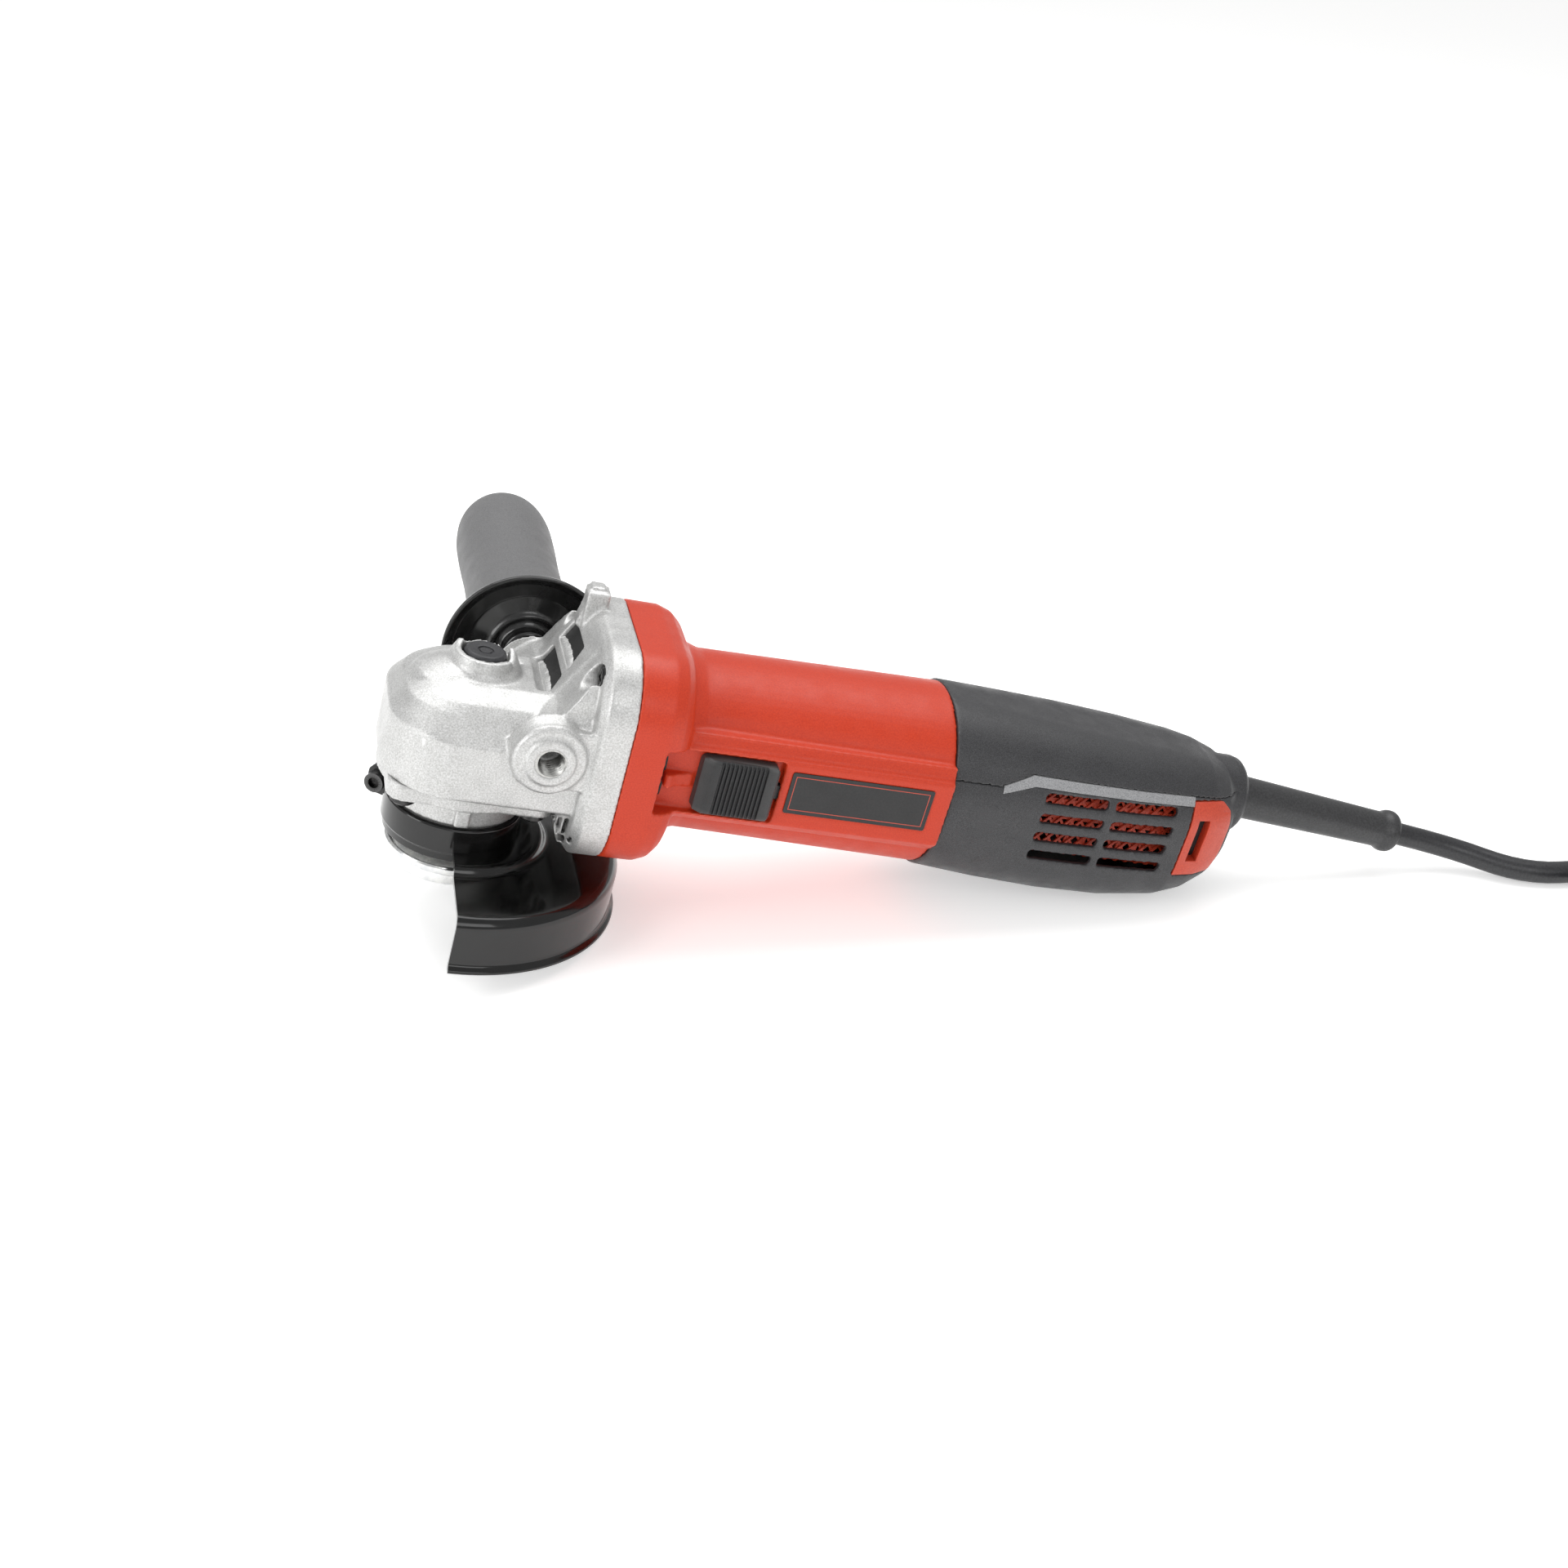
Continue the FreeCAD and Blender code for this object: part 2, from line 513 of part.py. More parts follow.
# =====================================================================================
# Motor housing
# =====================================================================================
body = [rounded_prism_x(FLANGE_X1, 60, FLANGE_HALF_Y, flange_z0, flange_z1, FLANGE_ROUND)]
steps = [(60.0, 0.0, FLANGE_ROUND), (64.5, 1.2, 22.0), (67.5, 3.4, 22.5), (69.0, 6.0, 23.0)]
wires = [rounded_x(x, FLANGE_HALF_Y - d, flange_z0 + d, flange_z1 - d, r) for x, d, r in steps]
body.append(Part.makeLoft(wires, True, True))
body.append(cone("x", (60, 0, MZ), SEAM_X - 60, BARREL_R0 - 0.1, BARREL_R1))
body.append(cone("x", (66, 0, MZ), 9, 34.8, BARREL_R0))
side_band = [(BAND_FACE, MZ - 11.5), (BAND_FACE, MZ + 13.0), (32.2, MZ + 14.2), (31.2, MZ + 18.0),
             (24, MZ + 18.0),
             (24, MZ - 15.5), (30.5, MZ - 15.5)]
for s in (-1, 1):
    body.append(prism_x([(s * y, z) for y, z in side_band], 62, SEAM_X))
motor = body[0].fuse(body[1:])
cuts = [rounded_prism_x(FLANGE_X1 - 1, 59, FLANGE_HALF_Y - 4, flange_z0 + 4, flange_z1 - 4, 18)]
cuts.append(cone("x", (59, 0, MZ), 13, 34.0, BARREL_BORE))
cuts.append(cyl("x", (70, 0, MZ), SEAM_X - 69, BARREL_BORE))
keep = [cyl("x", (FLANGE_X1, y, z), 30, 5.5) for y, z in head_screw_yz]
cavity = cuts[0].fuse(cuts[1:]).cut(keep[0].fuse(keep[1:]))
# rear bridge that carries the rear bearing
bridge = cyl("x", (BRG_C_X - 2, 0, MZ), BRG_C_W + 4, BARREL_BORE)
boot_seat = cyl("x", (BRG_C_X - 3, 0, MZ), BRG_C_W + 3, 13.0)
bridge = bridge.cut([boot_seat, cyl("x", (BRG_C_X - 4, 0, MZ), 30, 7.0)])
for i in range(4):
    a = math.radians(45 + 90 * i)
    bridge = bridge.cut(cyl("x", (BRG_C_X - 4, 20.8 * math.cos(a), MZ + 20.8 * math.sin(a)), 30, 6.2))
cavity = cavity.cut(bridge)
motor = motor.cut(cavity)
cuts = []
for y, z in head_screw_yz:
    cuts.append(cyl("x", (FLANGE_X1 - 1, y, z), FLANGE_X0 + 24 - FLANGE_X1 + 1, 2.5))
# switch recess, rod channel
cuts.append(box(RECESS_X0, RECESS_X1, -45, RECESS_Y, SLIDER_Z0 - 1.5, SLIDER_Z1 + 1.5))
cuts.append(box(62.0, SEAM_X + 1, -(BAND_FACE - 1.6), -(BAND_FACE - 4.9), MZ - 3.2, MZ + 3.2))
cuts.append(box(62.0, 100.0, -(BAND_FACE - 3.0), -(BAND_FACE - 4.9), MZ - 3.2, MZ + 3.2))
cuts.append(box(150.0, SEAM_X + 1, -(BAND_FACE - 4.5), -25.0, MZ - 3.6, MZ + 3.6))
# shallow bed for the name plate
cuts.append(box(106.2, 159.4, -45, -(BAND_FACE - 0.5), 28.8, 45.6))
motor = motor.cut(cuts)
guides = [box(61.5, 66.5, -(BAND_FACE - 1.2), -(BAND_FACE - 3.5), z, z + 3.0) for z in (27.5, 42.0)]
motor = motor.fuse(guides)
node("motor_housing", motor)
node("nameplate", box(106.4, 159.2, -(BAND_FACE + 0.05), -(BAND_FACE - 0.5), 29.0, 45.4))

baffle = cyl("x", (60.0, 0, MZ), 3.0, 32.0).cut(cyl("x", (59, 0, MZ), 6, 21.0))
baffle = baffle.common(cone("x", (59, 0, MZ), 13, 34.0, BARREL_BORE))
for y, z in head_screw_yz:
    baffle = baffle.cut(cyl("x", (55, y, z), 12, 5.5))
node("fan_baffle", baffle)

# =====================================================================================
# Motor
# =====================================================================================
core = cyl("x", (CORE_X0, 0, MZ), CORE_X1 - CORE_X0, BARREL_BORE)
core = core.cut(cyl("x", (CORE_X0 - 1, 0, MZ), CORE_X1 - CORE_X0 + 2, STATOR_BORE))
coil_slots = []
for s in (-1, 1):
    y0, y1 = sorted((s * 14, s * 24))
    coil_slots.append(box(CORE_X0 - 1, CORE_X1 + 1, y0, y1, MZ - 15, MZ - 4))
    coil_slots.append(box(CORE_X0 - 1, CORE_X1 + 1, y0, y1, MZ + 4, MZ + 15))
bolt_holes = [cyl("x", (CORE_X0 - 1, 0, MZ + s * CORE_BOLT_Z), 80, 1.8) for s in (-1, 1)]
node("stator_core", core.cut(coil_slots + bolt_holes))
coils = []
for s in (-1, 1):
    y0, y1 = sorted((s * 18.6, s * 23.6))
    outer = box(CORE_X0 - 7, CORE_X1 + 7, y0, y1, MZ - 14.5, MZ + 14.5)
    hole = box(CORE_X0 - 0.3, CORE_X1 + 0.3, y0 - 1, y1 + 1, MZ - 4.0, MZ + 4.0)
    coils.append(outer.cut(hole))
node("field_coils", coils)

arm = spin([
    (0, 12.6), (2.8, 12.6), (3.4, 13.2), (3.4, BRG_B_X), (5.0, BRG_B_X), (5.0, BRG_B_X + BRG_B_W),
    (SHAFT_R, BRG_B_X + BRG_B_W),
    (SHAFT_R, BRG_C_X), (4.0, BRG_C_X), (4.0, BRG_C_X + BRG_C_W + 1.5), (0, BRG_C_X + BRG_C_W + 1.5),
], "x", M)
node("armature_shaft", arm)
lam = cyl("x", (CORE_X0, 0, MZ), CORE_X1 - CORE_X0, CORE_R).cut(cyl("x", (CORE_X0 - 1, 0, MZ), 60, SHAFT_R))
for i in range(12):
    slot = box(CORE_X0 - 1, CORE_X1 + 1, -1.0, 1.0, MZ + CORE_R - 5.5, MZ + CORE_R + 1)
    slot.rotate(V(*M), V(1, 0, 0), 30.0 * i)
    lam = lam.cut(slot)
node("armature_core", lam)
wind = [
    spin([(SHAFT_R, CORE_X0 - 9), (10, CORE_X0 - 9), (14.5, CORE_X0 - 6), (15.2, CORE_X0),
          (SHAFT_R, CORE_X0)], "x", M),
    spin([(SHAFT_R, CORE_X1), (15.2, CORE_X1), (14.5, CORE_X1 + 5), (11.5, CORE_X1 + 8),
          (SHAFT_R, CORE_X1 + 8)], "x", M),
]
node("armature_windings", wind)
comm = spin([(SHAFT_R, 133), (13.0, 133), (13.0, 135.5), (11.5, 136), (11.5, 149), (SHAFT_R, 149)], "x", M)
for i in range(24):
    slot = box(136.2, 150, -0.25, 0.25, MZ + 10.4, MZ + 12)
    slot.rotate(V(*M), V(1, 0, 0), 15.0 * i)
    comm = comm.cut(slot)
node("commutator", comm)

hub = spin([(SHAFT_R, 39), (9, 39), (11, 46), (FAN_R, 47.6), (FAN_R, 49.6), (SHAFT_R, 49.6)], "x", M)
blades = []
for i in range(11):
    b = box(40.5, 47.7, -0.7, 0.7, MZ + 13.5, MZ + FAN_R - 0.2)
    b.rotate(V(0, 0, MZ + 20), V(1, 0, 0), 25)
    b.rotate(V(*M), V(1, 0, 0), 360.0 * i / 11)
    blades.append(b)
node("cooling_fan", hub.multiFuse(blades))

xb = BRG_B_X + BRG_B_W / 2
node("front_bearing_outer", tube("x", (BRG_B_X, 0, MZ), BRG_B_W, BRG_B_R, 12.3).cut(
    Part.makeTorus(10.0, 2.75, V(xb, 0, MZ), V(1, 0, 0))))
node("front_bearing_inner", tube("x", (BRG_B_X, 0, MZ), BRG_B_W, 7.7, 5.0).cut(
    Part.makeTorus(10.0, 2.75, V(xb, 0, MZ), V(1, 0, 0))))
node("front_bearing_balls", balls("x", (xb, 0, MZ), 10.0, 2.7, 8))
xc = BRG_C_X + BRG_C_W / 2
node("rear_bearing_outer", tube("x", (BRG_C_X, 0, MZ), BRG_C_W, BRG_C_R, 9.0).cut(
    Part.makeTorus(7.5, 2.05, V(xc, 0, MZ), V(1, 0, 0))))
node("rear_bearing_inner", tube("x", (BRG_C_X, 0, MZ), BRG_C_W, 6.0, 4.0).cut(
    Part.makeTorus(7.5, 2.05, V(xc, 0, MZ), V(1, 0, 0))))
node("rear_bearing_balls", balls("x", (xc, 0, MZ), 7.5, 2.0, 8))
boot = tube("x", (BRG_C_X - 2, 0, MZ), BRG_C_W + 2, 13.0, BRG_C_R)
node("bearing_boot", boot)

holders = []
brushes = []
springs = []
for s in (-1, 1):
    z0, z1 = sorted((s * 13.2, s * 27.2))
    h = box(138.0, 147.0, -4.2, 4.2, MZ + z0, MZ + z1)
    h = h.cut(box(139.4, 145.6, -2.7, 2.7, MZ + z0 - 1, MZ + z1 + 1))
    foot_z0, foot_z1 = sorted((s * 26.2, s * 28.0))
    foot = box(136.0, BRG_C_X - 2, -4.2, 4.2, MZ + foot_z0, MZ + foot_z1)
    foot = foot.common(cyl("x", (100, 0, MZ), 60, BARREL_BORE))
    foot = foot.cut(box(139.4, 145.6, -2.7, 2.7, MZ + z0 - 1, MZ + z1 + 1))
    holders.append(h.fuse(foot))
    b0, b1 = sorted((s * 11.6, s * 20.5))
    brushes.append(box(139.5, 145.5, -2.6, 2.6, MZ + b0, MZ + b1))
    c0, c1 = sorted((s * 20.5, s * 27.2))
    springs.append(tube("z", (142.5, 0, MZ + c0), c1 - c0, 2.2, 1.6))
node("brush_holders", holders)
node("carbon_brushes", brushes)
node("brush_springs", springs)

stator_screws = []
for s in (-1, 1):
    z = MZ + s * CORE_BOLT_Z
    shank = cyl("x", (CORE_X0, 0, z), CORE_X1 - CORE_X0 + 8, 1.8)
    stator_screws.append(shank.fuse(cyl("x", (CORE_X0 - 3, 0, z), 3, 3.4)))
node("stator_screws", stator_screws)

# =====================================================================================
# Slide switch
# =====================================================================================
plan = [(SLIDER_X0, RECESS_Y - TOUCH), (SLIDER_X0 + 0.8, -35.0), (SLIDER_X0 + 4.5, -37.0),
        (SLIDER_X1 - 1.2, -37.0),
        (SLIDER_X1, -36.0), (SLIDER_X1, RECESS_Y - TOUCH)]
slider = prism_z(plan, SLIDER_Z0, SLIDER_Z1)
notches = []
for i in range(10):
    x = SLIDER_X0 + 6.0 + 1.75 * i
    notches.append(prism_z([(x - 0.55, -37.5), (x + 0.55, -37.5), (x, -36.4)], SLIDER_Z0 - 1, SLIDER_Z1 + 1))
slider = slider.cut(notches)
foot = box(SLIDER_X0 + 6, SLIDER_X0 + 12, RECESS_Y - TOUCH - 0.1, -(BAND_FACE - 4.4), MZ - 2.6, MZ + 2.6)
slider = slider.fuse(foot)
edges = [e for e in slider.Edges if abs(e.Vertexes[0].Y - e.Vertexes[-1].Y) > 0.5 and e.Length < 8
         and (abs(e.CenterOfMass.x - SLIDER_X1) < 0.1 or abs(e.CenterOfMass.x - SLIDER_X0) < 3)
         and (abs(e.CenterOfMass.z - SLIDER_Z0) < 0.01 or abs(e.CenterOfMass.z - SLIDER_Z1) < 0.01)]
node("switch_slider", slider.makeFillet(2.2, edges))
# thin strip under the slider, then a thicker bar to the switch in the rear handle
rod_y0 = -(BAND_FACE - 2.2)
rod_y1 = -(BAND_FACE - 4.4)
rod_in = -26.2
ROD_END = 190.0
strip = box(SLIDER_X0 + 12, SLIDER_X1 + 0.5, RECESS_Y + 0.1, rod_y1, MZ - 2.6, MZ + 2.6)
bar = box(SLIDER_X1 + 0.5, SEAM_X - 5, rod_y0, rod_y1, MZ - 2.6, MZ + 2.6)
jog = box(SEAM_X - 8, SEAM_X - 5, rod_y0, rod_in, MZ - 2.6, MZ + 2.6)
tail = box(SEAM_X - 5, ROD_END, rod_in - 2.2, rod_in, MZ - 2.6, MZ + 2.6)
node("switch_rod", strip.fuse([bar, jog, tail]))
block = box(179, FILTER_X0 - 0.5, rod_in + 0.3, -10, 27, 45)
node("switch_block", block.fuse(box(184, 187, -10, -6, 30, 42)))

# =====================================================================================
# Rear handle
# =====================================================================================
stations = [
    (SEAM_X, 33.3, 2.2, 68.8, 31.0),
    (190.0, 33.0, 1.0, 67.2, 28.0),
    (215.0, 32.4, 0.6, 65.4, 25.0),
    (240.0, 31.3, 1.2, 63.4, 23.0),
    (262.0, 29.3, 3.4, 61.6, 22.0),
    (272.0, 27.0, 6.4, 60.2, 21.0),
    (280.0, 23.4, 11.4, 58.0, 19.0),
    (HANDLE_END, 19.5, 16.5, 55.4, 16.5),
]


def handle_loft(inset, x_stop):
    wires = []
    for x, hy, z0, z1, r in stations:
        if x > x_stop:
            continue
        wires.append(rounded_x(x, hy - inset, z0 + inset, z1 - inset, r - inset))
    return Part.makeLoft(wires, True, True)


outer = handle_loft(0.0, 999)
inner = handle_loft(HANDLE_WALL, 281)
skin = handle_loft(0.9, 999)
neck = [cyl("x", (HANDLE_END - 6, 0, NECK_Z), 9.0, 15.0), cyl("x", (HANDLE_END, 0, NECK_Z), 7.0, 12.2)]
full = outer.fuse(neck).cut(inner)
parting = [(SEAM_X - 2, 49.0), (184.0, 49.0), (196.0, 54.0), (262.0, 52.6), (276.0, 51.6), (300.0, 51.6)]
upper_zone = prism_y(parting + [(300, 90), (SEAM_X - 2, 90)], -60, 60)
stripe_low = [(262.0, 49.6), (197.0, 50.6), (185.0, 46.8)]
stripe_zone = prism_y([(185.0, 49.4), (196.0, 54.0), (262.0, 52.6)] + stripe_low, -60, 60)
stripes = outer.cut(skin).common(stripe_zone).common(box(180, 262, -60, 60, 30, 70))
stripes = [s for s in stripes.Solids if s.BoundBox.YMax < 0 or s.BoundBox.YMin > 0]
upper = full.common(upper_zone)
lower = full.cut(upper_zone).cut(stripes)
post_xy = [(174.0, -13.0), (174.0, 13.0), (256.0, -12.0), (256.0, 12.0)]
posts = [cyl("z", (x, y, 0), 80, 4.4).common(outer) for x, y in post_xy]
upper = upper.fuse([p.common(upper_zone) for p in posts])
lower = lower.fuse([p.cut(upper_zone) for p in posts])
holes = [cyl("z", (x, y, 9), 50, 1.9) for x, y in post_xy] + [cyl("z", (x, y, -5),
         14, 3.5) for x, y in post_xy]
cord_bore = cyl("x", (HANDLE_END - 10, 0, NECK_Z), 30, 9.6)
upper = upper.cut(holes + [cord_bore])
cuts = holes + [cord_bore]
rows = [45.0, 37.4, 29.8, 22.2]
for z in rows:
    for x0, x1 in ((202.0, 227.0), (230.0, 255.5)):
        cuts.append(box(x0, x1, -45, -26.0, z, z + 3.7))
        cuts.append(box(x0, x1, 26.0, 45, z, z + 3.7))
clip_pockets = []
for s in (-1, 1):
    y0, y1 = sorted((s * (FILTER_IN - 0.4), s * 45))
    clip_pockets.append(box(CLIP_X, 300, y0, y1, FILTER_Z0 - SLIP, FILTER_Z1 + SLIP))
lower = lower.cut(cuts + clip_pockets)
upper = upper.cut(clip_pockets)
node("handle_upper", upper)
node("handle_lower", lower)
node("handle_stripes", stripes)
handle_screws = []
for x, y in post_xy:
    handle_screws.append(cyl("z", (x, y, 6.0), 3.0, 3.4).fuse(cyl("z", (x, y, 9.0), 48.0, 1.9)))
node("handle_screws", handle_screws)

for name, s in (("dust_filter_left", -1), ("dust_filter_right", 1)):
    y0, y1 = sorted((s * FILTER_IN, s * (FILTER_IN + FILTER_T)))
    plate = box(FILTER_X0, CLIP_X + 2.0, y0, y1, FILTER_Z0, FILTER_Z1)
    mesh_holes = []
    for i in range(9):
        for j in range(4):
            x = FILTER_X0 + 3.0 + 7.0 * i
            z = FILTER_Z0 + 2.4 + 6.6 * j
            mesh_holes.append(box(x, x + 5.4, y0 - 1, y1 + 1, z, z + 5.0))
    plate = plate.cut(mesh_holes)
    c0, c1 = sorted((s * FILTER_IN, s * 45))
    clip = outer.common(box(CLIP_X + SLIP, 290, c0, c1, FILTER_Z0, FILTER_Z1))
    clip = clip.cut(box(265.8, 270.6, c0 - 1, c1 + 1, 27.5, 44.5))
    clip = max(clip.Solids, key=lambda q: q.Volume)
    node(name, plate.fuse(clip))

node("cord_clamp", box(HANDLE_END - 16, HANDLE_END - 10, -13, 13, NECK_Z + 8.9, NECK_Z + 12.0))

# =====================================================================================
# Side handle
# =====================================================================================
S = (SIDE_X, 0, SIDE_Z)
disc = spin([
    (STUD_R, BOSS_Y + TOUCH), (9.5, BOSS_Y + TOUCH), (9.5, 46.0), (13.0, 46.6), (20.0, 46.0),
    (DISC_R - 1.2, BOSS_Y + 0.4),
    (DISC_R, BOSS_Y + 0.8), (DISC_R, BOSS_Y + 2.4), (21.0, 49.4), (19.4, 50.5), (STUD_R, 50.5),
], "y", S)
node("side_handle_disc", disc)
grip = spin([
    (STUD_R, 50.5), (19.4, 50.5), (20.0, 54.0), (19.6, 66.0), (18.6, 84.0), (18.4, 104.0), (GRIP_R, 126.0),
    (GRIP_R, 140.0),
    (17.8, 150.0), (15.0, 157.5), (10.0, 162.2), (5.0, GRIP_END - 0.2), (0, GRIP_END), (0, 82.0),
    (STUD_R, 82.0),
], "y", S)
node("side_handle_grip", grip)
stud = spin([(0, BOSS_Y - 11), (STUD_R - 0.8, BOSS_Y - 11), (STUD_R, BOSS_Y - 10), (STUD_R, 81.9),
             (0, 81.9)], "y", S)
node("side_handle_stud", stud)

# =====================================================================================
# Strain relief: tapered rubber sleeve with an end ring, drooping from the handle's neck
# =====================================================================================
SLEEVE_L = 73.0
SLEEVE_DROP = 5.0       # degrees below the tool's own axis
SLEEVE_X = HANDLE_END + 7.0
sleeve = spin([
    (0, -21.0), (7.0, -21.0), (7.0, -11.0), (8.4, -11.0), (8.4, 0.0), (8.3, 0.0), (7.0, SLEEVE_L - 8.0),
    (7.0, SLEEVE_L - 4.4), (8.2, SLEEVE_L - 3.0),
    (8.2, SLEEVE_L - 1.2), (7.4, SLEEVE_L), (0, SLEEVE_L),
], "x", (0, 0, 0))
sleeve = sleeve.cut(cyl("x", (-25, 0, 0), SLEEVE_L + 30, CORD_R))
sleeve.rotate(V(0, 0, 0), V(0, 1, 0), SLEEVE_DROP)
sleeve.translate(V(SLEEVE_X, 0, NECK_Z))
node("cord_sleeve", sleeve)

# =====================================================================================
# Resting attitude: tipped back until the guard's rear lip and the handle's belly stand on the floor
# =====================================================================================
rest_x = GUARD_R + GUARD_LIP
tips = [math.degrees(math.atan2(z0 - GUARD_BOTTOM, x - rest_x)) for x, hy, z0, z1, r in stations]
PITCH = min(tips)
for shapes in NODES.values():
    for s in shapes:
        s.rotate(V(0, 0, 0), V(0, 1, 0), PITCH)
whole = Part.makeCompound([s for shapes in NODES.values() for s in shapes])
bb = whole.optimalBoundingBox(False, False)
shift = V(-(bb.XMin + bb.XMax) / 2, -(bb.YMin + bb.YMax) / 2, -bb.ZMin)
for shapes in NODES.values():
    for s in shapes:
        s.translate(shift)
print("pitch", round(PITCH, 6), "shift", [round(v, 4) for v in shift])
print("box", round(bb.XLength, 1), round(bb.YLength, 1), round(bb.ZLength, 1))


def place(x, y, z):
    """A point of the level tool, in the resting frame."""
    a = math.radians(PITCH)
    return V(x * math.cos(a) + z * math.sin(a), y, -x * math.sin(a) + z * math.cos(a)) + shift


d = math.radians(SLEEVE_DROP)
sleeve_end = place(SLEEVE_X + SLEEVE_L * math.cos(d), 0, NECK_Z - SLEEVE_L * math.sin(d))
print("sleeve end", sleeve_end)

# =====================================================================================
# Power cord, in the resting frame: out of the sleeve, down to the floor, into a neat round coil
# =====================================================================================
CORD_D = 2 * CORD_R
FLOOR = 0.05            # the cord lies this far above the floor plane
LAY = FLOOR + CORD_R
ROUTE = [
    (190.92, -50.0, 16.87),
    (220.84, -50.0, 8.78),
    (248.50, -67.2, LAY),
    (281.44, -66.12, LAY),
    (313.32, -63.33, LAY),
]
COIL_X = 318.5
COIL_Y = -122.5
COIL_R = 50.6           # middle of the coil's turns
COIL_IN = 95.0          # where the cord joins the outer turn, degrees from +X


def cord_tube(points, r):
    """Straight runs joined by tangent arcs, each arc as large as its two runs allow."""
    pts = [V(*p) for p in points]
    edges = []
    length = 0.0
    last = pts[0]
    for i in range(1, len(pts) - 1):
        before = pts[i] - pts[i - 1]
        after = pts[i + 1] - pts[i]
        short = min(before.Length, after.Length)
        turn = before.getAngle(after)
        reach = 0.45 * short
        bend = reach / math.tan(turn / 2)
        a = pts[i] - before.normalize() * reach
        b = pts[i] + after.normalize() * reach
        centre_way = (after - before).normalize()
        centre = pts[i] + centre_way * (bend / math.cos(turn / 2))
        middle = centre - centre_way * bend
        edges.append(Part.LineSegment(last, a).toShape())
        edges.append(Part.Arc(a, middle, b).toShape())
        length += (a - last).Length + bend * turn
        last = b
        print("bend", i, "radius", round(bend, 1), "turn", round(math.degrees(turn), 1))
    edges.append(Part.LineSegment(last, pts[-1]).toShape())
    length += (pts[-1] - last).Length
    section = Part.Wire(Part.makeCircle(r, pts[0], pts[1] - pts[0]))
    tube_solid = Part.Wire(edges).makePipeShell([section], True, True)
    print("cord tube", round(tube_solid.Volume), "section x length", round(math.pi * r * r * length))
    print("length", round(length, 1))
    return tube_solid


node("power_cord", cord_tube(ROUTE, CORD_R))
# three turns on the floor, two in their grooves, a last part turn on top that leads to the plug
NEST = CORD_D * math.sqrt(0.75)
top_low = LAY + NEST + CORD_R
top_high = LAY + 2 * NEST + CORD_R
ring_profile = [
    (COIL_R - 1.5 * CORD_D, FLOOR), (COIL_R + 1.5 * CORD_D, FLOOR), (COIL_R + 1.5 * CORD_D, FLOOR + CORD_D),
    (COIL_R + CORD_D, top_low), (COIL_R - CORD_D, top_low), (COIL_R - 1.5 * CORD_D, FLOOR + CORD_D),
]
coil = spin(ring_profile, "z", (COIL_X, COIL_Y, 0))
turn_section = [(-CORD_R, top_low - 1), (CORD_R, top_low - 1), (CORD_R, top_high), (-CORD_R, top_high)]
last_turn = Part.Face(poly([(COIL_X + COIL_R + r, COIL_Y, z) for r, z in turn_section]))
last_turn = last_turn.revolve(V(COIL_X, COIL_Y, 0), V(0, 0, 1), COIL_IN)
node("cord_coil", coil.fuse(last_turn).removeSplitter())

# moulded two-pin plug, lying level on the coil at the end of its last turn, pointing along -Y
PLUG_W = 36.0
PLUG_T = 22.0
PLUG_L = 34.0
BOOT_L = 16.0
PIN_R = 2.4
PIN_L = 19.0
PIN_GAP = 19.0
plug_x = COIL_X + COIL_R
plug_z = top_low + PLUG_T / 2
boot_end = COIL_Y - BOOT_L
plug = Part.makeBox(PLUG_W, PLUG_L, PLUG_T, V(plug_x - PLUG_W / 2, boot_end - PLUG_L, plug_z - PLUG_T / 2))
plug = plug.makeFillet(6.0, [e for e in plug.Edges if e.BoundBox.YLength > PLUG_L - 1])
boot = Part.makeCone(CORD_R + 1.2, CORD_R + 4.0, BOOT_L, V(plug_x, COIL_Y, plug_z), V(0, -1, 0))
plug = plug.fuse(boot)
pins = []
for side in (-1, 1):
    at = V(plug_x + side * PIN_GAP / 2, boot_end - PLUG_L + 4.0, plug_z)
    pins.append(Part.makeCylinder(PIN_R, PIN_L + 4.0, at, V(0, -1, 0)))
node("plug_body", plug.cut(pins))
node("plug_pins", pins)

for n, shapes in NODES.items():
    shape = shapes[0] if len(shapes) == 1 else Part.makeCompound(shapes)
    shape.exportStep("parts/" + n + ".step")
print("nodes", len(NODES))
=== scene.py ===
import json
import math

import bmesh
import bpy
from mathutils import Matrix, Vector


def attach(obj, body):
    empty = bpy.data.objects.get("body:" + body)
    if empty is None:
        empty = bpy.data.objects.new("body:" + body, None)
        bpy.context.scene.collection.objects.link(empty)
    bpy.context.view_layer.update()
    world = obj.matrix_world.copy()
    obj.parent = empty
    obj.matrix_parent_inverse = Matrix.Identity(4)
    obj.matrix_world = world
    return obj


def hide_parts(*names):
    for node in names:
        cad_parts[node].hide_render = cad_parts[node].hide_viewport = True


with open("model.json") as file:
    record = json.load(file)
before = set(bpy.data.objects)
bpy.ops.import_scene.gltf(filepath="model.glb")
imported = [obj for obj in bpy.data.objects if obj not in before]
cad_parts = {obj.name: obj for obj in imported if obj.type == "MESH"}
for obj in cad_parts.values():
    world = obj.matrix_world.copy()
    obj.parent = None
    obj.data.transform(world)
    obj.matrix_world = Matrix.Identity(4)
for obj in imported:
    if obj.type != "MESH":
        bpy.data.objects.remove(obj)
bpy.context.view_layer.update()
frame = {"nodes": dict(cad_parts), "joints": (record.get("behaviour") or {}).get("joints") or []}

scene = bpy.context.scene

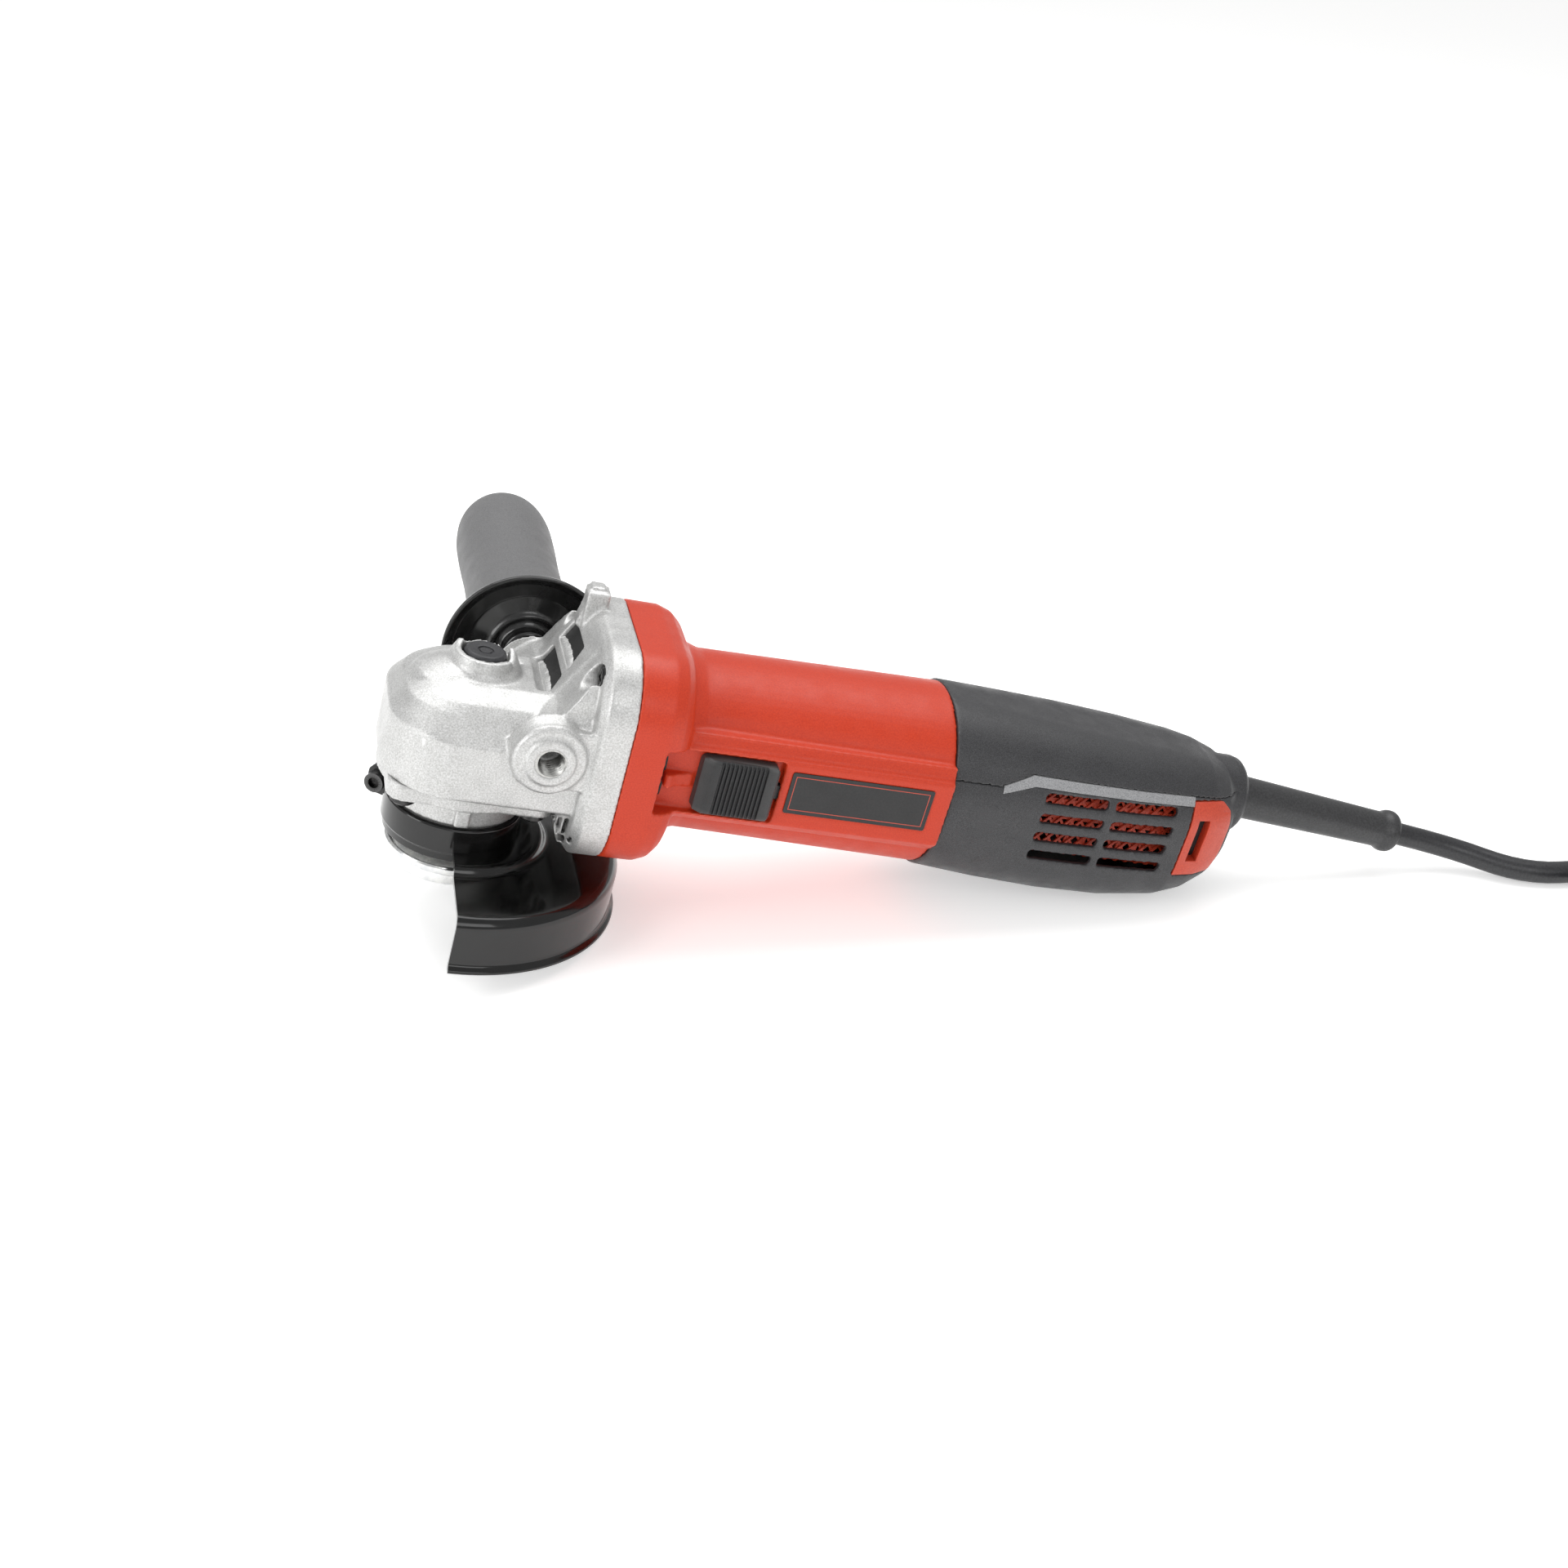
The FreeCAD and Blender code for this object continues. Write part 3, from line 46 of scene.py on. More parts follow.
# ---- The stand ----
# The grinder leans back on its guard and the belly of its handle. Pieces are set out along the tool's own
# axes in millimetres: X runs from the spindle along the motor to the lead, Z runs up the spindle.
joint = {j["name"]: j for j in frame["joints"]}
MOTOR_WAY = Vector(joint["armature_spin"]["axis"])
SPINDLE_WAY = Vector(joint["spindle_spin"]["axis"])
SPINDLE_FOOT = Vector(joint["spindle_spin"]["pos_m"])


def at(x, y, z):
    """A point of the upright tool, in millimetres, where it is on the floor."""
    return SPINDLE_FOOT + (MOTOR_WAY * x + Vector((0, y, 0)) + SPINDLE_WAY * z) / 1000


EYE = at(-116.4, -665.8, 374.9)
AIM = at(116.3, 0.0, 22.0)
ROLL = math.radians(16.61)
LENS_MM = 50
back = (EYE - AIM).normalized()
right = SPINDLE_WAY.cross(back).normalized()
up = back.cross(right)
rolled_right = right * math.cos(ROLL) + up * math.sin(ROLL)
rolled_up = up * math.cos(ROLL) - right * math.sin(ROLL)
camera_data = bpy.data.cameras.new("camera")
camera_data.lens = LENS_MM
camera_data.sensor_width = 36
camera = bpy.data.objects.new("camera", camera_data)
camera.matrix_world = Matrix.Translation(EYE) @ Matrix((rolled_right, rolled_up, back)).transposed().to_4x4()
scene.collection.objects.link(camera)
scene.camera = camera
scene.view_settings.view_transform = "Standard"

floor_mesh = bpy.data.meshes.new("floor")
FLOOR_HALF = 9.0
floor_corners = [(x * FLOOR_HALF, y * FLOOR_HALF, 0) for x, y in ((-1, -1), (1, -1), (1, 1), (-1, 1))]
floor_mesh.from_pydata(floor_corners, [], [(0, 1, 2, 3)])
floor = bpy.data.objects.new("floor", floor_mesh)
scene.collection.objects.link(floor)
floor_paper = bpy.data.materials.new("floor_paper")
floor_paper.use_nodes = True
paper = floor_paper.node_tree.nodes["Principled BSDF"]
paper.inputs["Base Color"].default_value = (0.9, 0.9, 0.895, 1)
paper.inputs["Roughness"].default_value = 0.85
paper.inputs["Specular IOR Level"].default_value = 0.2
paper.inputs["Emission Color"].default_value = (1, 1, 1, 1)
paper.inputs["Emission Strength"].default_value = 0.42
floor_mesh.materials.append(floor_paper)

world = bpy.data.worlds.new("studio")
world.use_nodes = True
world.node_tree.nodes["Background"].inputs["Color"].default_value = (1, 1, 1, 1)
world.node_tree.nodes["Background"].inputs["Strength"].default_value = 0.55
scene.world = world


def softbox(name, place, aim, width, height, watts):
    data = bpy.data.lights.new(name, "AREA")
    data.shape = "RECTANGLE"
    data.size = width
    data.size_y = height
    data.energy = watts
    lamp = bpy.data.objects.new(name, data)
    lamp.location = place
    lamp.rotation_euler = (Vector(place) - Vector(aim)).to_track_quat("Z", "Y").to_euler()
    scene.collection.objects.link(lamp)


softbox("overhead_box", (0.0, 0.35, 1.15), (0, 0, 0.03), 1.5, 0.9, 12)
softbox("left_box", (-1.1, -0.5, 0.55), (-0.1, 0, 0.03), 0.5, 0.9, 5)
softbox("front_box", (0.35, -1.3, 0.9), (0.05, 0, 0.03), 0.9, 0.6, 3.8)

# ---- Gear head ----
# The gear head is one aluminium die casting: a blunt nose, a facetted roof with a crescent wall round the
# lock button, a louvred shoulder where the air blows out, and the flange that bolts to the motor housing.
TOOL = Matrix.Translation(SPINDLE_FOOT) @ Matrix((MOTOR_WAY, (0, 1, 0), SPINDLE_WAY)).transposed().to_4x4()
TOOL = TOOL @ Matrix.Scale(0.001, 4)


def finish(name, dark, light, grain_mm, rough, bump=None, metallic=0.0, coat=0.0, edge_wear_and_highlight=None):
    """A surface whose colour drifts from dark to light over grain_mm. rough is its smoothest and roughest
    patch, bump the width and height of its grain in mm. The last colour is the lighter shade painted on
    sharp edges: partly rubbed wear, partly a painted highlight."""
    material = bpy.data.materials.new(name)
    material.use_nodes = True
    tree = material.node_tree
    link = tree.links.new
    shader = tree.nodes["Principled BSDF"]
    shader.inputs["Metallic"].default_value = metallic
    shader.inputs["Coat Weight"].default_value = coat
    shader.inputs["Coat Roughness"].default_value = 0.08
    place = tree.nodes.new("ShaderNodeTexCoord")

    def noise(width_mm, detail):
        node = tree.nodes.new("ShaderNodeTexNoise")
        node.inputs["Scale"].default_value = 1000 / width_mm
        node.inputs["Detail"].default_value = detail
        link(place.outputs["Object"], node.inputs["Vector"])
        return node.outputs["Fac"]

    shades = tree.nodes.new("ShaderNodeValToRGB")
    shades.color_ramp.elements[0].position = 0.32
    shades.color_ramp.elements[0].color = (*dark, 1)
    shades.color_ramp.elements[1].position = 0.68
    shades.color_ramp.elements[1].color = (*light, 1)
    link(noise(grain_mm, 4), shades.inputs["Fac"])
    colour = shades.outputs["Color"]
    # Sharp edges, found by pointiness, are lightened: partly rubbed wear, partly a painted highlight.
    if edge_wear_and_highlight:
        geometry = tree.nodes.new("ShaderNodeNewGeometry")
        edge = tree.nodes.new("ShaderNodeMapRange")
        edge.inputs["From Min"].default_value = 0.53
        edge.inputs["From Max"].default_value = 0.62
        link(geometry.outputs["Pointiness"], edge.inputs["Value"])
        rub = tree.nodes.new("ShaderNodeMix")
        rub.data_type = "RGBA"
        rub.inputs[7].default_value = (*edge_wear_and_highlight, 1)
        link(edge.outputs["Result"], rub.inputs[0])
        link(colour, rub.inputs[6])
        colour = rub.outputs[2]
    link(colour, shader.inputs["Base Color"])
    gloss = tree.nodes.new("ShaderNodeMapRange")
    gloss.inputs["From Min"].default_value = 0.3
    gloss.inputs["From Max"].default_value = 0.7
    gloss.inputs["To Min"].default_value = rough[0]
    gloss.inputs["To Max"].default_value = rough[1]
    link(noise(7, 5), gloss.inputs["Value"])
    link(gloss.outputs["Result"], shader.inputs["Roughness"])
    if bump:
        relief = tree.nodes.new("ShaderNodeBump")
        relief.inputs["Distance"].default_value = bump[1] / 1000
        link(noise(bump[0], 3), relief.inputs["Height"])
        link(relief.outputs["Normal"], shader.inputs["Normal"])
    return material


def dress(material, *nodes):
    """CAD pieces that keep their shape take this finish."""
    for n in nodes:
        slots = frame["nodes"][n].data.materials
        slots.clear()
        slots.append(material)


def part(name, shape, material, body, stands_for=(), smooth_below=40):
    """Makes a piece from a mesh under construction, in the tool's millimetres, and fixes it to its body."""
    bmesh.ops.recalc_face_normals(shape, faces=shape.faces)
    shape.transform(TOOL)
    mesh = bpy.data.meshes.new(name)
    shape.to_mesh(mesh)
    shape.free()
    piece = bpy.data.objects.new(name, mesh)
    scene.collection.objects.link(piece)
    dressed(piece, material, body, stands_for, smooth_below)
    return piece


def dressed(piece, material, body, stands_for=(), smooth_below=40):
    piece.data.materials.clear()
    piece.data.materials.append(material)
    piece.data.shade_smooth()
    if smooth_below:
        piece.data.set_sharp_from_angle(angle=math.radians(smooth_below))
    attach(piece, body)
    if stands_for:
        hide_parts(*stands_for)


def loft(shape, rings, loop=False):
    """Skins a row of equal rings. The row closes on itself, or gets a cap at each end."""
    rows = [[shape.verts.new(p) for p in ring] for ring in rings]
    pairs = list(zip(rows, rows[1:]))
    if loop:
        pairs.append((rows[-1], rows[0]))
    else:
        shape.faces.new(rows[0][::-1])
        shape.faces.new(rows[-1])
    for a, b in pairs:
        for i in range(len(a)):
            shape.faces.new((a[i - 1], a[i], b[i], b[i - 1]))


def block(shape, x, y, z):
    loft(shape, [[(x[0], y[0], h), (x[1], y[0], h), (x[1], y[1], h), (x[0], y[1], h)] for h in z])


def ellipse(centre, a, b, way="z", count=64):
    """Ring of points about centre, square to way."""
    ring = []
    for i in range(count):
        t = 2 * math.pi * i / count
        u, v = a * math.cos(t), b * math.sin(t)
        step = {"x": (0, u, v), "y": (v, 0, u), "z": (u, v, 0)}[way]
        ring.append(tuple(c + s for c, s in zip(centre, step)))
    return ring


def bar(shape, foot, length, radius, way, count=48, tip=None):
    end = list(foot)
    end["xyz".index(way)] += length
    tip = radius if tip is None else tip
    loft(shape, [ellipse(foot, radius, radius, way, count), ellipse(end, tip, tip, way, count)])


def turned(shape, profile, foot, way, start=0.0, sweep=360.0, count=128):
    """Turns a closed (radius, height) outline about the line through foot."""
    rings = []
    steps = count if sweep == 360 else count + 1
    for i in range(steps):
        t = math.radians(start + sweep * i / count)
        c, s = math.cos(t), math.sin(t)
        ring = []
        for r, h in profile:
            step = {"x": (h, r * c, r * s), "y": (r * s, h, r * c), "z": (r * c, r * s, h)}[way]
            ring.append(tuple(p + q for p, q in zip(foot, step)))
        rings.append(ring)
    loft(shape, rings, sweep == 360)


def eased(outline, radius, steps=4):
    """The same closed outline with each corner rounded, by a curve that keeps inside it."""
    out = []
    for i, corner in enumerate(outline):
        here = Vector(corner)
        before = Vector(outline[i - 1]) - here
        after = Vector(outline[(i + 1) % len(outline)]) - here
        reach = min(radius, before.length * 0.45, after.length * 0.45)
        a = here + before.normalized() * reach
        b = here + after.normalized() * reach
        for k in range(steps + 1):
            t = k / steps
            out.append(tuple(a * (1 - t) ** 2 + here * 2 * t * (1 - t) + b * t ** 2))
    return out


def settle(piece):
    """Works the piece's modifiers into its mesh."""
    bpy.context.view_layer.update()
    seen = piece.evaluated_get(bpy.context.evaluated_depsgraph_get())
    old = piece.data
    shape = bpy.data.meshes.new_from_object(seen)
    piece.modifiers.clear()
    piece.data = shape
    bpy.data.meshes.remove(old)


def remesh(piece, grid_mm):
    knit = piece.modifiers.new("knit", "REMESH")
    knit.mode = "VOXEL"
    knit.voxel_size = grid_mm / 1000
    settle(piece)


def moulded(name, node, grow, cut, grid_mm, rounds, keep=1.0):
    """A casting or moulding: the node's own shape with bosses grown on it and pockets cut out, then every
    edge rounded as a mould rounds it."""
    shape = bmesh.new()
    grow(shape)
    bmesh.ops.recalc_face_normals(shape, faces=shape.faces)
    shape.transform(TOOL)
    shape.from_mesh(frame["nodes"][node].data)
    mesh = bpy.data.meshes.new(name)
    shape.to_mesh(mesh)
    shape.free()
    piece = bpy.data.objects.new(name, mesh)
    scene.collection.objects.link(piece)
    remesh(piece, grid_mm)
    shape = bmesh.new()
    cut(shape)
    if shape.faces:
        bmesh.ops.recalc_face_normals(shape, faces=shape.faces)
        shape.transform(TOOL)
        mesh = bpy.data.meshes.new("cutter")
        shape.to_mesh(mesh)
        cutter = bpy.data.objects.new("cutter", mesh)
        scene.collection.objects.link(cutter)
        carve = piece.modifiers.new("carve", "BOOLEAN")
        carve.operation = "DIFFERENCE"
        carve.solver = "MANIFOLD"
        carve.object = cutter
        settle(piece)
        bpy.data.objects.remove(cutter)
        remesh(piece, grid_mm)
    shape.free()
    rub = piece.modifiers.new("rub", "SMOOTH")
    rub.factor = 0.5
    rub.iterations = rounds
    if keep < 1:
        thin = piece.modifiers.new("thin", "DECIMATE")
        thin.ratio = keep
    settle(piece)
    return piece


# Its lighter edge colour is partly rubbed wear, partly a painted highlight on the bevels.
CAST = finish("cast_alloy", (0.44, 0.44, 0.43), (0.66, 0.66, 0.655), 0.55, (0.36, 0.55), (0.4, 0.09), 0.72,
              edge_wear_and_highlight=(0.74, 0.74, 0.73))
MACHINED = finish("machined_alloy", (0.34, 0.34, 0.33), (0.52, 0.52, 0.5), 1.4, (0.24, 0.4), (0.5, 0.01), 1.0)
WALL_FROM = 140         # the open side of the crescent wall ends here, degrees from the motor
WALL_SWEEP = 245        # how far round the wall runs
PIN_BORE = 3.45
HEAD_SCREWS = (6.0, 65.0)
ROOF = 50.0
COLLAR_IN = 8.3
SHOULDER_FOOT = Vector((23.0, 0, 51.5))
SHOULDER_UP = Vector((0.518, 0, 0.856))
SHOULDER_OUT = Vector((-0.856, 0, 0.518))
BOSS = (22.3, -39.75, 38.5)
LOUVRES = [((-3.4, 5.0), (-11.0, 16.0)), ((8.2, 16.8), (-7.5, 17.5))]
LINER_DEPTH = -7.0
LINER_TOP = -1.3


def crescent_height(turn):
    """The wall round the button stands highest at its two ends, and is open at the far side."""
    along = ((turn - WALL_FROM) % 360) / WALL_SWEEP
    if along > 1:
        return ROOF - 1
    ends = min(along, 1 - along) / 0.045
    return ROOF - 1 + min(1, ends) ** 0.5 * (5.5 + 6.0 * abs(2 * along - 1) ** 2.2)


def on_shoulder(up_slope, across, proud):
    return tuple(SHOULDER_FOOT + SHOULDER_UP * up_slope + SHOULDER_OUT * proud + Vector((0, across, 0)))


def grow_head(shape):
    rings = []
    for i in range(120):
        turn = 3.0 * i
        high = crescent_height(turn)
        c, s = math.cos(math.radians(turn)), math.sin(math.radians(turn))
        section = [(COLLAR_IN - 1.5, 45.0), (16.4, 45.0), (15.4, ROOF - 1.5), (10.2, high - 0.4),
                   (COLLAR_IN, high)]
        rings.append([(r * c, r * s, z) for r, z in section])
    loft(shape, rings, loop=True)
    loft(shape, [ellipse((x, 0, z), a, b) for x, z, a, b in (
        (-6, 44, 20, 19), (-5.5, 48.6, 16.5, 15.5), (-5, 51.2, 12.5, 12), (-3.5, 53.0, 9.5, 9.5))])
    hood = ((17, 44), (23, 51.5), (36.2, 73.4), (46, 73.4), (46, 62), (36, 44))
    loft(shape, [[(x, y, z) for x, z in hood] for y in (-13.5, 22)])
    cheek = [((26, 46), (36.5, 61), (40, 70), (46, 70), (46, 46)),
             ((33, 46), (38, 55), (41, 62), (46, 62), (46, 46))]
    loft(shape, [[(x, y, z) for x, z in outline] for y, outline in zip((-13, -25), cheek)])
    bar(shape, (BOSS[0], -30, BOSS[2]), -8.2, 14.5, "y", tip=12.0)
    web = [((22, 28 + d), (22, 50 - d), (40, 55 - d), (40, 24 + d)) for d in (0, 6.5)]
    loft(shape, [[(x, y, z) for x, z in outline] for y, outline in zip((-30, -36.5), web)])
    bar(shape, (BOSS[0], -35, BOSS[2]), -4.75, 9.8, "y", tip=8.3)
    lug = ((30, 66), (33.5, 81.8), (38.5, 81.8), (41, 70))
    loft(shape, [[(x, y, z) for x, z in lug] for y in (11.5, 17)])


def cut_head(shape):
    bar(shape, (0, 0, 49.0), 20, COLLAR_IN, "z")
    bar(shape, (0, 0, 43.0), 8, PIN_BORE, "z")
    turned(shape, [(7.0, 50.4), (16.5, 50.4), (16.5, 64.0), (7.0, 64.0)], (0, 0, 0), "z", 24, 114, 24)
    far_ring = [(9.4, 30.5), (13.6, 30.5), (13.6, 44.0), (9.4, 44.0)]
    turned(shape, far_ring, (BOSS[0], 0, BOSS[2]), "y", count=48)
    for (low, high), (near, far) in LOUVRES:
        corners = ((low, near), (high, near + 3.9), (high, far + 0.9), (low, far))
        loft(shape, [[on_shoulder(s, y, d) for s, y in corners] for d in (LINER_DEPTH - 1.0, 4.0)])
    bar(shape, (BOSS[0], BOSS[1] - 1, BOSS[2]), 13, 5.3, "y")
    for k in range(3):
        block(shape, (31.0 + 2.4 * k, 32.6 + 2.4 * k), (-34, -17), (3.0 + k, 14.0))
    for z in HEAD_SCREWS:
        bar(shape, (31.5, -24.0, z), 6.8, 4.7, "x")


head = moulded("gear_head_casting", "gear_housing", grow_head, cut_head, 0.55, 5, 0.6)
dressed(head, CAST, "root", ["gear_housing"], 0)

# A black nylon plate behind the louvres stands for the baffle that turns the cooling air outwards, and keeps
# the louvres dark inside: partly a real part, partly painted shade.
BLACK_NYLON = finish("black_nylon", (0.004, 0.004, 0.004), (0.014, 0.014, 0.014), 0.6, (0.45, 0.6),
                     (0.4, 0.02))
liner = bmesh.new()
for (low, high), (near, far) in LOUVRES:
    corners = ((low - 0.3, near - 0.5), (high + 0.3, near - 0.5), (high + 0.3, far + 0.5),
               (low - 0.3, far + 0.5))
    loft(liner, [[on_shoulder(s, y, d) for s, y in corners] for d in (LINER_DEPTH - 0.9, LINER_TOP)])
part("louvre_liner", liner, BLACK_NYLON, "root", (), 30)

# Inside each louvre the casting curves down in a rough vane, left as it came out of the die.
vanes = bmesh.new()
VANE_STEPS = 36
for (low, high), (near, far) in LOUVRES:
    rings = []
    for k in range(VANE_STEPS + 1):
        t = k / VANE_STEPS
        wide = 2.3 + 1.3 * math.sin(math.pi * t) + 0.16 * math.sin(31 * t) + 0.1 * math.sin(83 * t)
        y = near + 0.5 + (far - near - 1.0) * t
        crest = [on_shoulder(low - 0.3 + wide * u / 6, y, -0.25 - 1.5 * (u / 6) ** 2.4) for u in range(7)]
        rings.append(crest + [on_shoulder(low - 0.3 + wide, y, -3.2), on_shoulder(low - 0.3, y, -3.2)])
    loft(vanes, rings)
part("louvre_vanes", vanes, CAST, "root", (), 60)

# The threaded hole for the side handle is tapped straight into the casting, so its walls are bright.
thread = bmesh.new()
PITCH_MM = 1.5
TURN_STEPS = 40
rows = []
for k in range(int(11.2 / PITCH_MM * 8)):
    y = BOSS[1] + 0.4 + k * PITCH_MM / 8
    row = []
    for i in range(TURN_STEPS):
        saw = (k / 8 + i / TURN_STEPS) % 1
        row.append(4.35 + 0.85 * abs(2 * saw - 1))
    rows.append((y, row))
rings = []
for i in range(TURN_STEPS):
    t = 2 * math.pi * i / TURN_STEPS
    ring = [(BOSS[0] + row[i] * math.cos(t), y, BOSS[2] + row[i] * math.sin(t)) for y, row in rows]
    ring += [(BOSS[0] + 5.6 * math.cos(t), y, BOSS[2] + 5.6 * math.sin(t)) for y in (rows[-1][0], rows[0][0])]
    rings.append(ring)
loft(thread, rings, loop=True)
part("handle_thread", thread, MACHINED, "root")

# ---- Gearbox cover ----
# A second casting closes the gearbox from below and carries the neck that the guard clamps to. Four
# blackened screws hold it, and four more hold the head to the motor housing.
BLACK_OXIDE = finish("black_oxide", (0.012, 0.012, 0.012), (0.035, 0.034, 0.033), 0.8, (0.22, 0.42),
                     (0.3, 0.02), 0.9, edge_wear_and_highlight=(0.09, 0.09, 0.09))


def nothing(shape):
    """No extra metal and no extra pockets."""


cover = moulded("gearbox_cover_casting", "gearbox_cover", nothing, nothing, 0.5, 3, 0.6)
dressed(cover, CAST, "root", ["gearbox_cover"], 0)


def bevelled(name, node, material, body, width_mm):
    """The node's own shape with every edge broken by a small round."""
    shape = bmesh.new()
    shape.from_mesh(frame["nodes"][node].data)
    bmesh.ops.remove_doubles(shape, verts=shape.verts, dist=2e-6)
    bmesh.ops.dissolve_limit(shape, angle_limit=math.radians(2), verts=shape.verts, edges=shape.edges)
    mesh = bpy.data.meshes.new(name)
    shape.to_mesh(mesh)
    shape.free()
    piece = bpy.data.objects.new(name, mesh)
    scene.collection.objects.link(piece)
    edge = piece.modifiers.new("edge", "BEVEL")
    edge.width = width_mm / 1000
    edge.segments = 2
    edge.limit_method = "ANGLE"
    edge.angle_limit = math.radians(38)
    settle(piece)
    dressed(piece, material, body, [node], 35)
    return piece


dress(BLACK_OXIDE, "cover_screws", "head_screws", "handle_screws", "stator_screws", "guard_clamp_screw",
      "guard_clamp_nut")

# ---- Lock button ----
# A moulded cap on the lock pin, with a small ring mark sunk in its top.
CAP = finish("button_plastic", (0.014, 0.014, 0.016), (0.034, 0.034, 0.038), 0.6, (0.34, 0.5), (0.35, 0.02))
cap = bmesh.new()
cap_line = [(0.01, 57.6), (2.1, 57.6), (2.1, 57.2), (2.7, 57.2), (2.7, 57.75), (6.3, 58.0), (7.4, 57.0),
            (7.4, 55.6), (7.65, 55.3), (7.65, 53.5), (5.9, 53.5), (5.9, 55.8), (0.01, 55.8)]
turned(cap, eased(cap_line, 0.45), (0, 0, 0), "z", count=72)
part("lock_button_cap", cap, CAP, "lock", ["lock_button"], 0)

# ---- Wheel guard ----
# Pressed sheet steel in gloss black enamel: a clamp band round the neck, a stepped half plate and a half
# skirt whose lower edge is rolled outwards.
ENAMEL = finish("guard_enamel", (0.002, 0.002, 0.002), (0.005, 0.005, 0.005), 9, (0.1, 0.22), (5.0, 0.03),
                0.0, 0.3)
ENAMEL.node_tree.nodes["Principled BSDF"].inputs["Specular IOR Level"].default_value = 0.38
guard = bmesh.new()
SKIRT_R = 62.0
SHEET = 1.6
TOP = -11.8
skirt = [(22.2, TOP + 3.0), (33.0, TOP + 3.0), (35.0, TOP), (SKIRT_R - 2.6, TOP), (SKIRT_R, TOP - 2.6),
         (SKIRT_R, -29.6), (SKIRT_R + 2.0, -30.9), (SKIRT_R + 2.0, -32.0), (SKIRT_R - SHEET, -32.0),
         (SKIRT_R - SHEET, TOP - 3.4), (SKIRT_R - 3.6, TOP - SHEET), (34.2, TOP - SHEET),
         (32.2, TOP + 3.0 - SHEET), (22.2, TOP + 3.0 - SHEET)]
turned(guard, eased(skirt, 1.6), (0, 0, 0), "z", -90.6, 181.2, 120)
part("guard_skirt", guard, ENAMEL, "guard", (), 50)
CLAMP_AT = 150.0
SPLIT = 5.2             # degrees that the band is open at its ears
band = bmesh.new()
band_line = [(21.6, -0.3), (22.2, 0.0), (24.0, 0.0), (24.3, -0.5), (24.3, -9.6), (23.4, -10.4),
             (23.2, -13.3), (21.6, -13.3)]
turned(band, eased(band_line, 0.4), (0, 0, 0), "z", CLAMP_AT + SPLIT / 2, 360 - SPLIT, 160)
ears = bmesh.new()
for side in (-1, 1):
    outline = eased([(22.9, 0.3), (31.2, 0.3), (31.8, -1.0), (31.8, -8.4), (31.2, -9.2), (22.9, -9.2)],
                    1.6, 5)
    loft(ears, [[(x, side * y, z) for x, z in outline] for y in (1.05, 3.15)])
bmesh.ops.rotate(ears, cent=(0, 0, 0), matrix=Matrix.Rotation(math.radians(CLAMP_AT), 3, "Z"),
                 verts=ears.verts)
for name, shape in (("guard_band", band), ("guard_ears", ears)):
    part(name, shape, ENAMEL, "guard", ["wheel_guard"] if name == "guard_band" else (), 50)

# ---- Wheel flanges ----
# Turned and zinc plated: the inner flange under the spindle shoulder and the nut with four pin holes.
ZINC = finish("zinc_plate", (0.6, 0.61, 0.62), (0.82, 0.82, 0.8), 3, (0.14, 0.3), (0.4, 0.006), 1.0,
              edge_wear_and_highlight=(0.9, 0.9, 0.9))
flange = bmesh.new()
flange_line = [(7.1, -14.0), (14.0, -14.0), (21.0, -16.9), (21.6, -17.6), (21.6, -20.0), (11.1, -20.0),
               (11.1, -21.5), (7.1, -21.5)]
turned(flange, eased(flange_line, 0.5), (0, 0, 0), "z")
part("inner_flange_turned", flange, ZINC, "spindle", ["inner_flange"], 30)
bevelled("flange_nut_turned", "flange_nut", ZINC, "spindle", 0.35)

# ---- Motor housing ----
# Glass-filled nylon moulded in red: a square shoulder behind the gear head that necks down to a round barrel,
# with a flat band along each side. The switch recess and the name plate bed are in the near band.
RED = finish("red_nylon", (0.47, 0.030, 0.008), (0.57, 0.044, 0.012), 0.5, (0.34, 0.48), (0.45, 0.028),
             edge_wear_and_highlight=(0.72, 0.12, 0.06))
RED.node_tree.nodes["Principled BSDF"].inputs["Specular IOR Level"].default_value = 0.36
MOTOR_Z = 35.5


def grow_motor(shape):
    # the neck sweeps from the shoulder down to the barrel
    rings = []
    for k in range(9):
        t = k / 8
        radius = 31.9 + 4.2 * (1 - t) ** 2.6
        rings.append(ellipse((64 + 13 * t, 0, MOTOR_Z), radius, radius, "x", 96))
    rings = [ellipse((50.1, 0, MOTOR_Z), 30.6, 30.6, "x", 96)] + rings
    inner = [ellipse((x, 0, MOTOR_Z), 30.2, 30.2, "x", 96) for x in (77.0, 50.1)]
    loft(shape, rings + inner, loop=True)


def cut_motor(shape):
    """Two fine lines along the band, one upright line, the slot for the rod, and the switch recess."""
    for z in (48.9, 53.7):
        block(shape, (72, 168), (-36, -30.6 if z > 50 else -32.6), (z, z + 0.5))
    block(shape, (104.2, 104.9), (-36, -34.1), (23.6, 48.4))
    block(shape, (62.5, 73.0), (-36, -28), (33.2, 38.2))
    block(shape, (60.5, 103.5), (-42, -31.1), (24.0, 48.0))


motor = moulded("motor_shell", "motor_housing", grow_motor, cut_motor, 0.6, 3, 0.5)
dressed(motor, RED, "root", ["motor_housing"], 0)

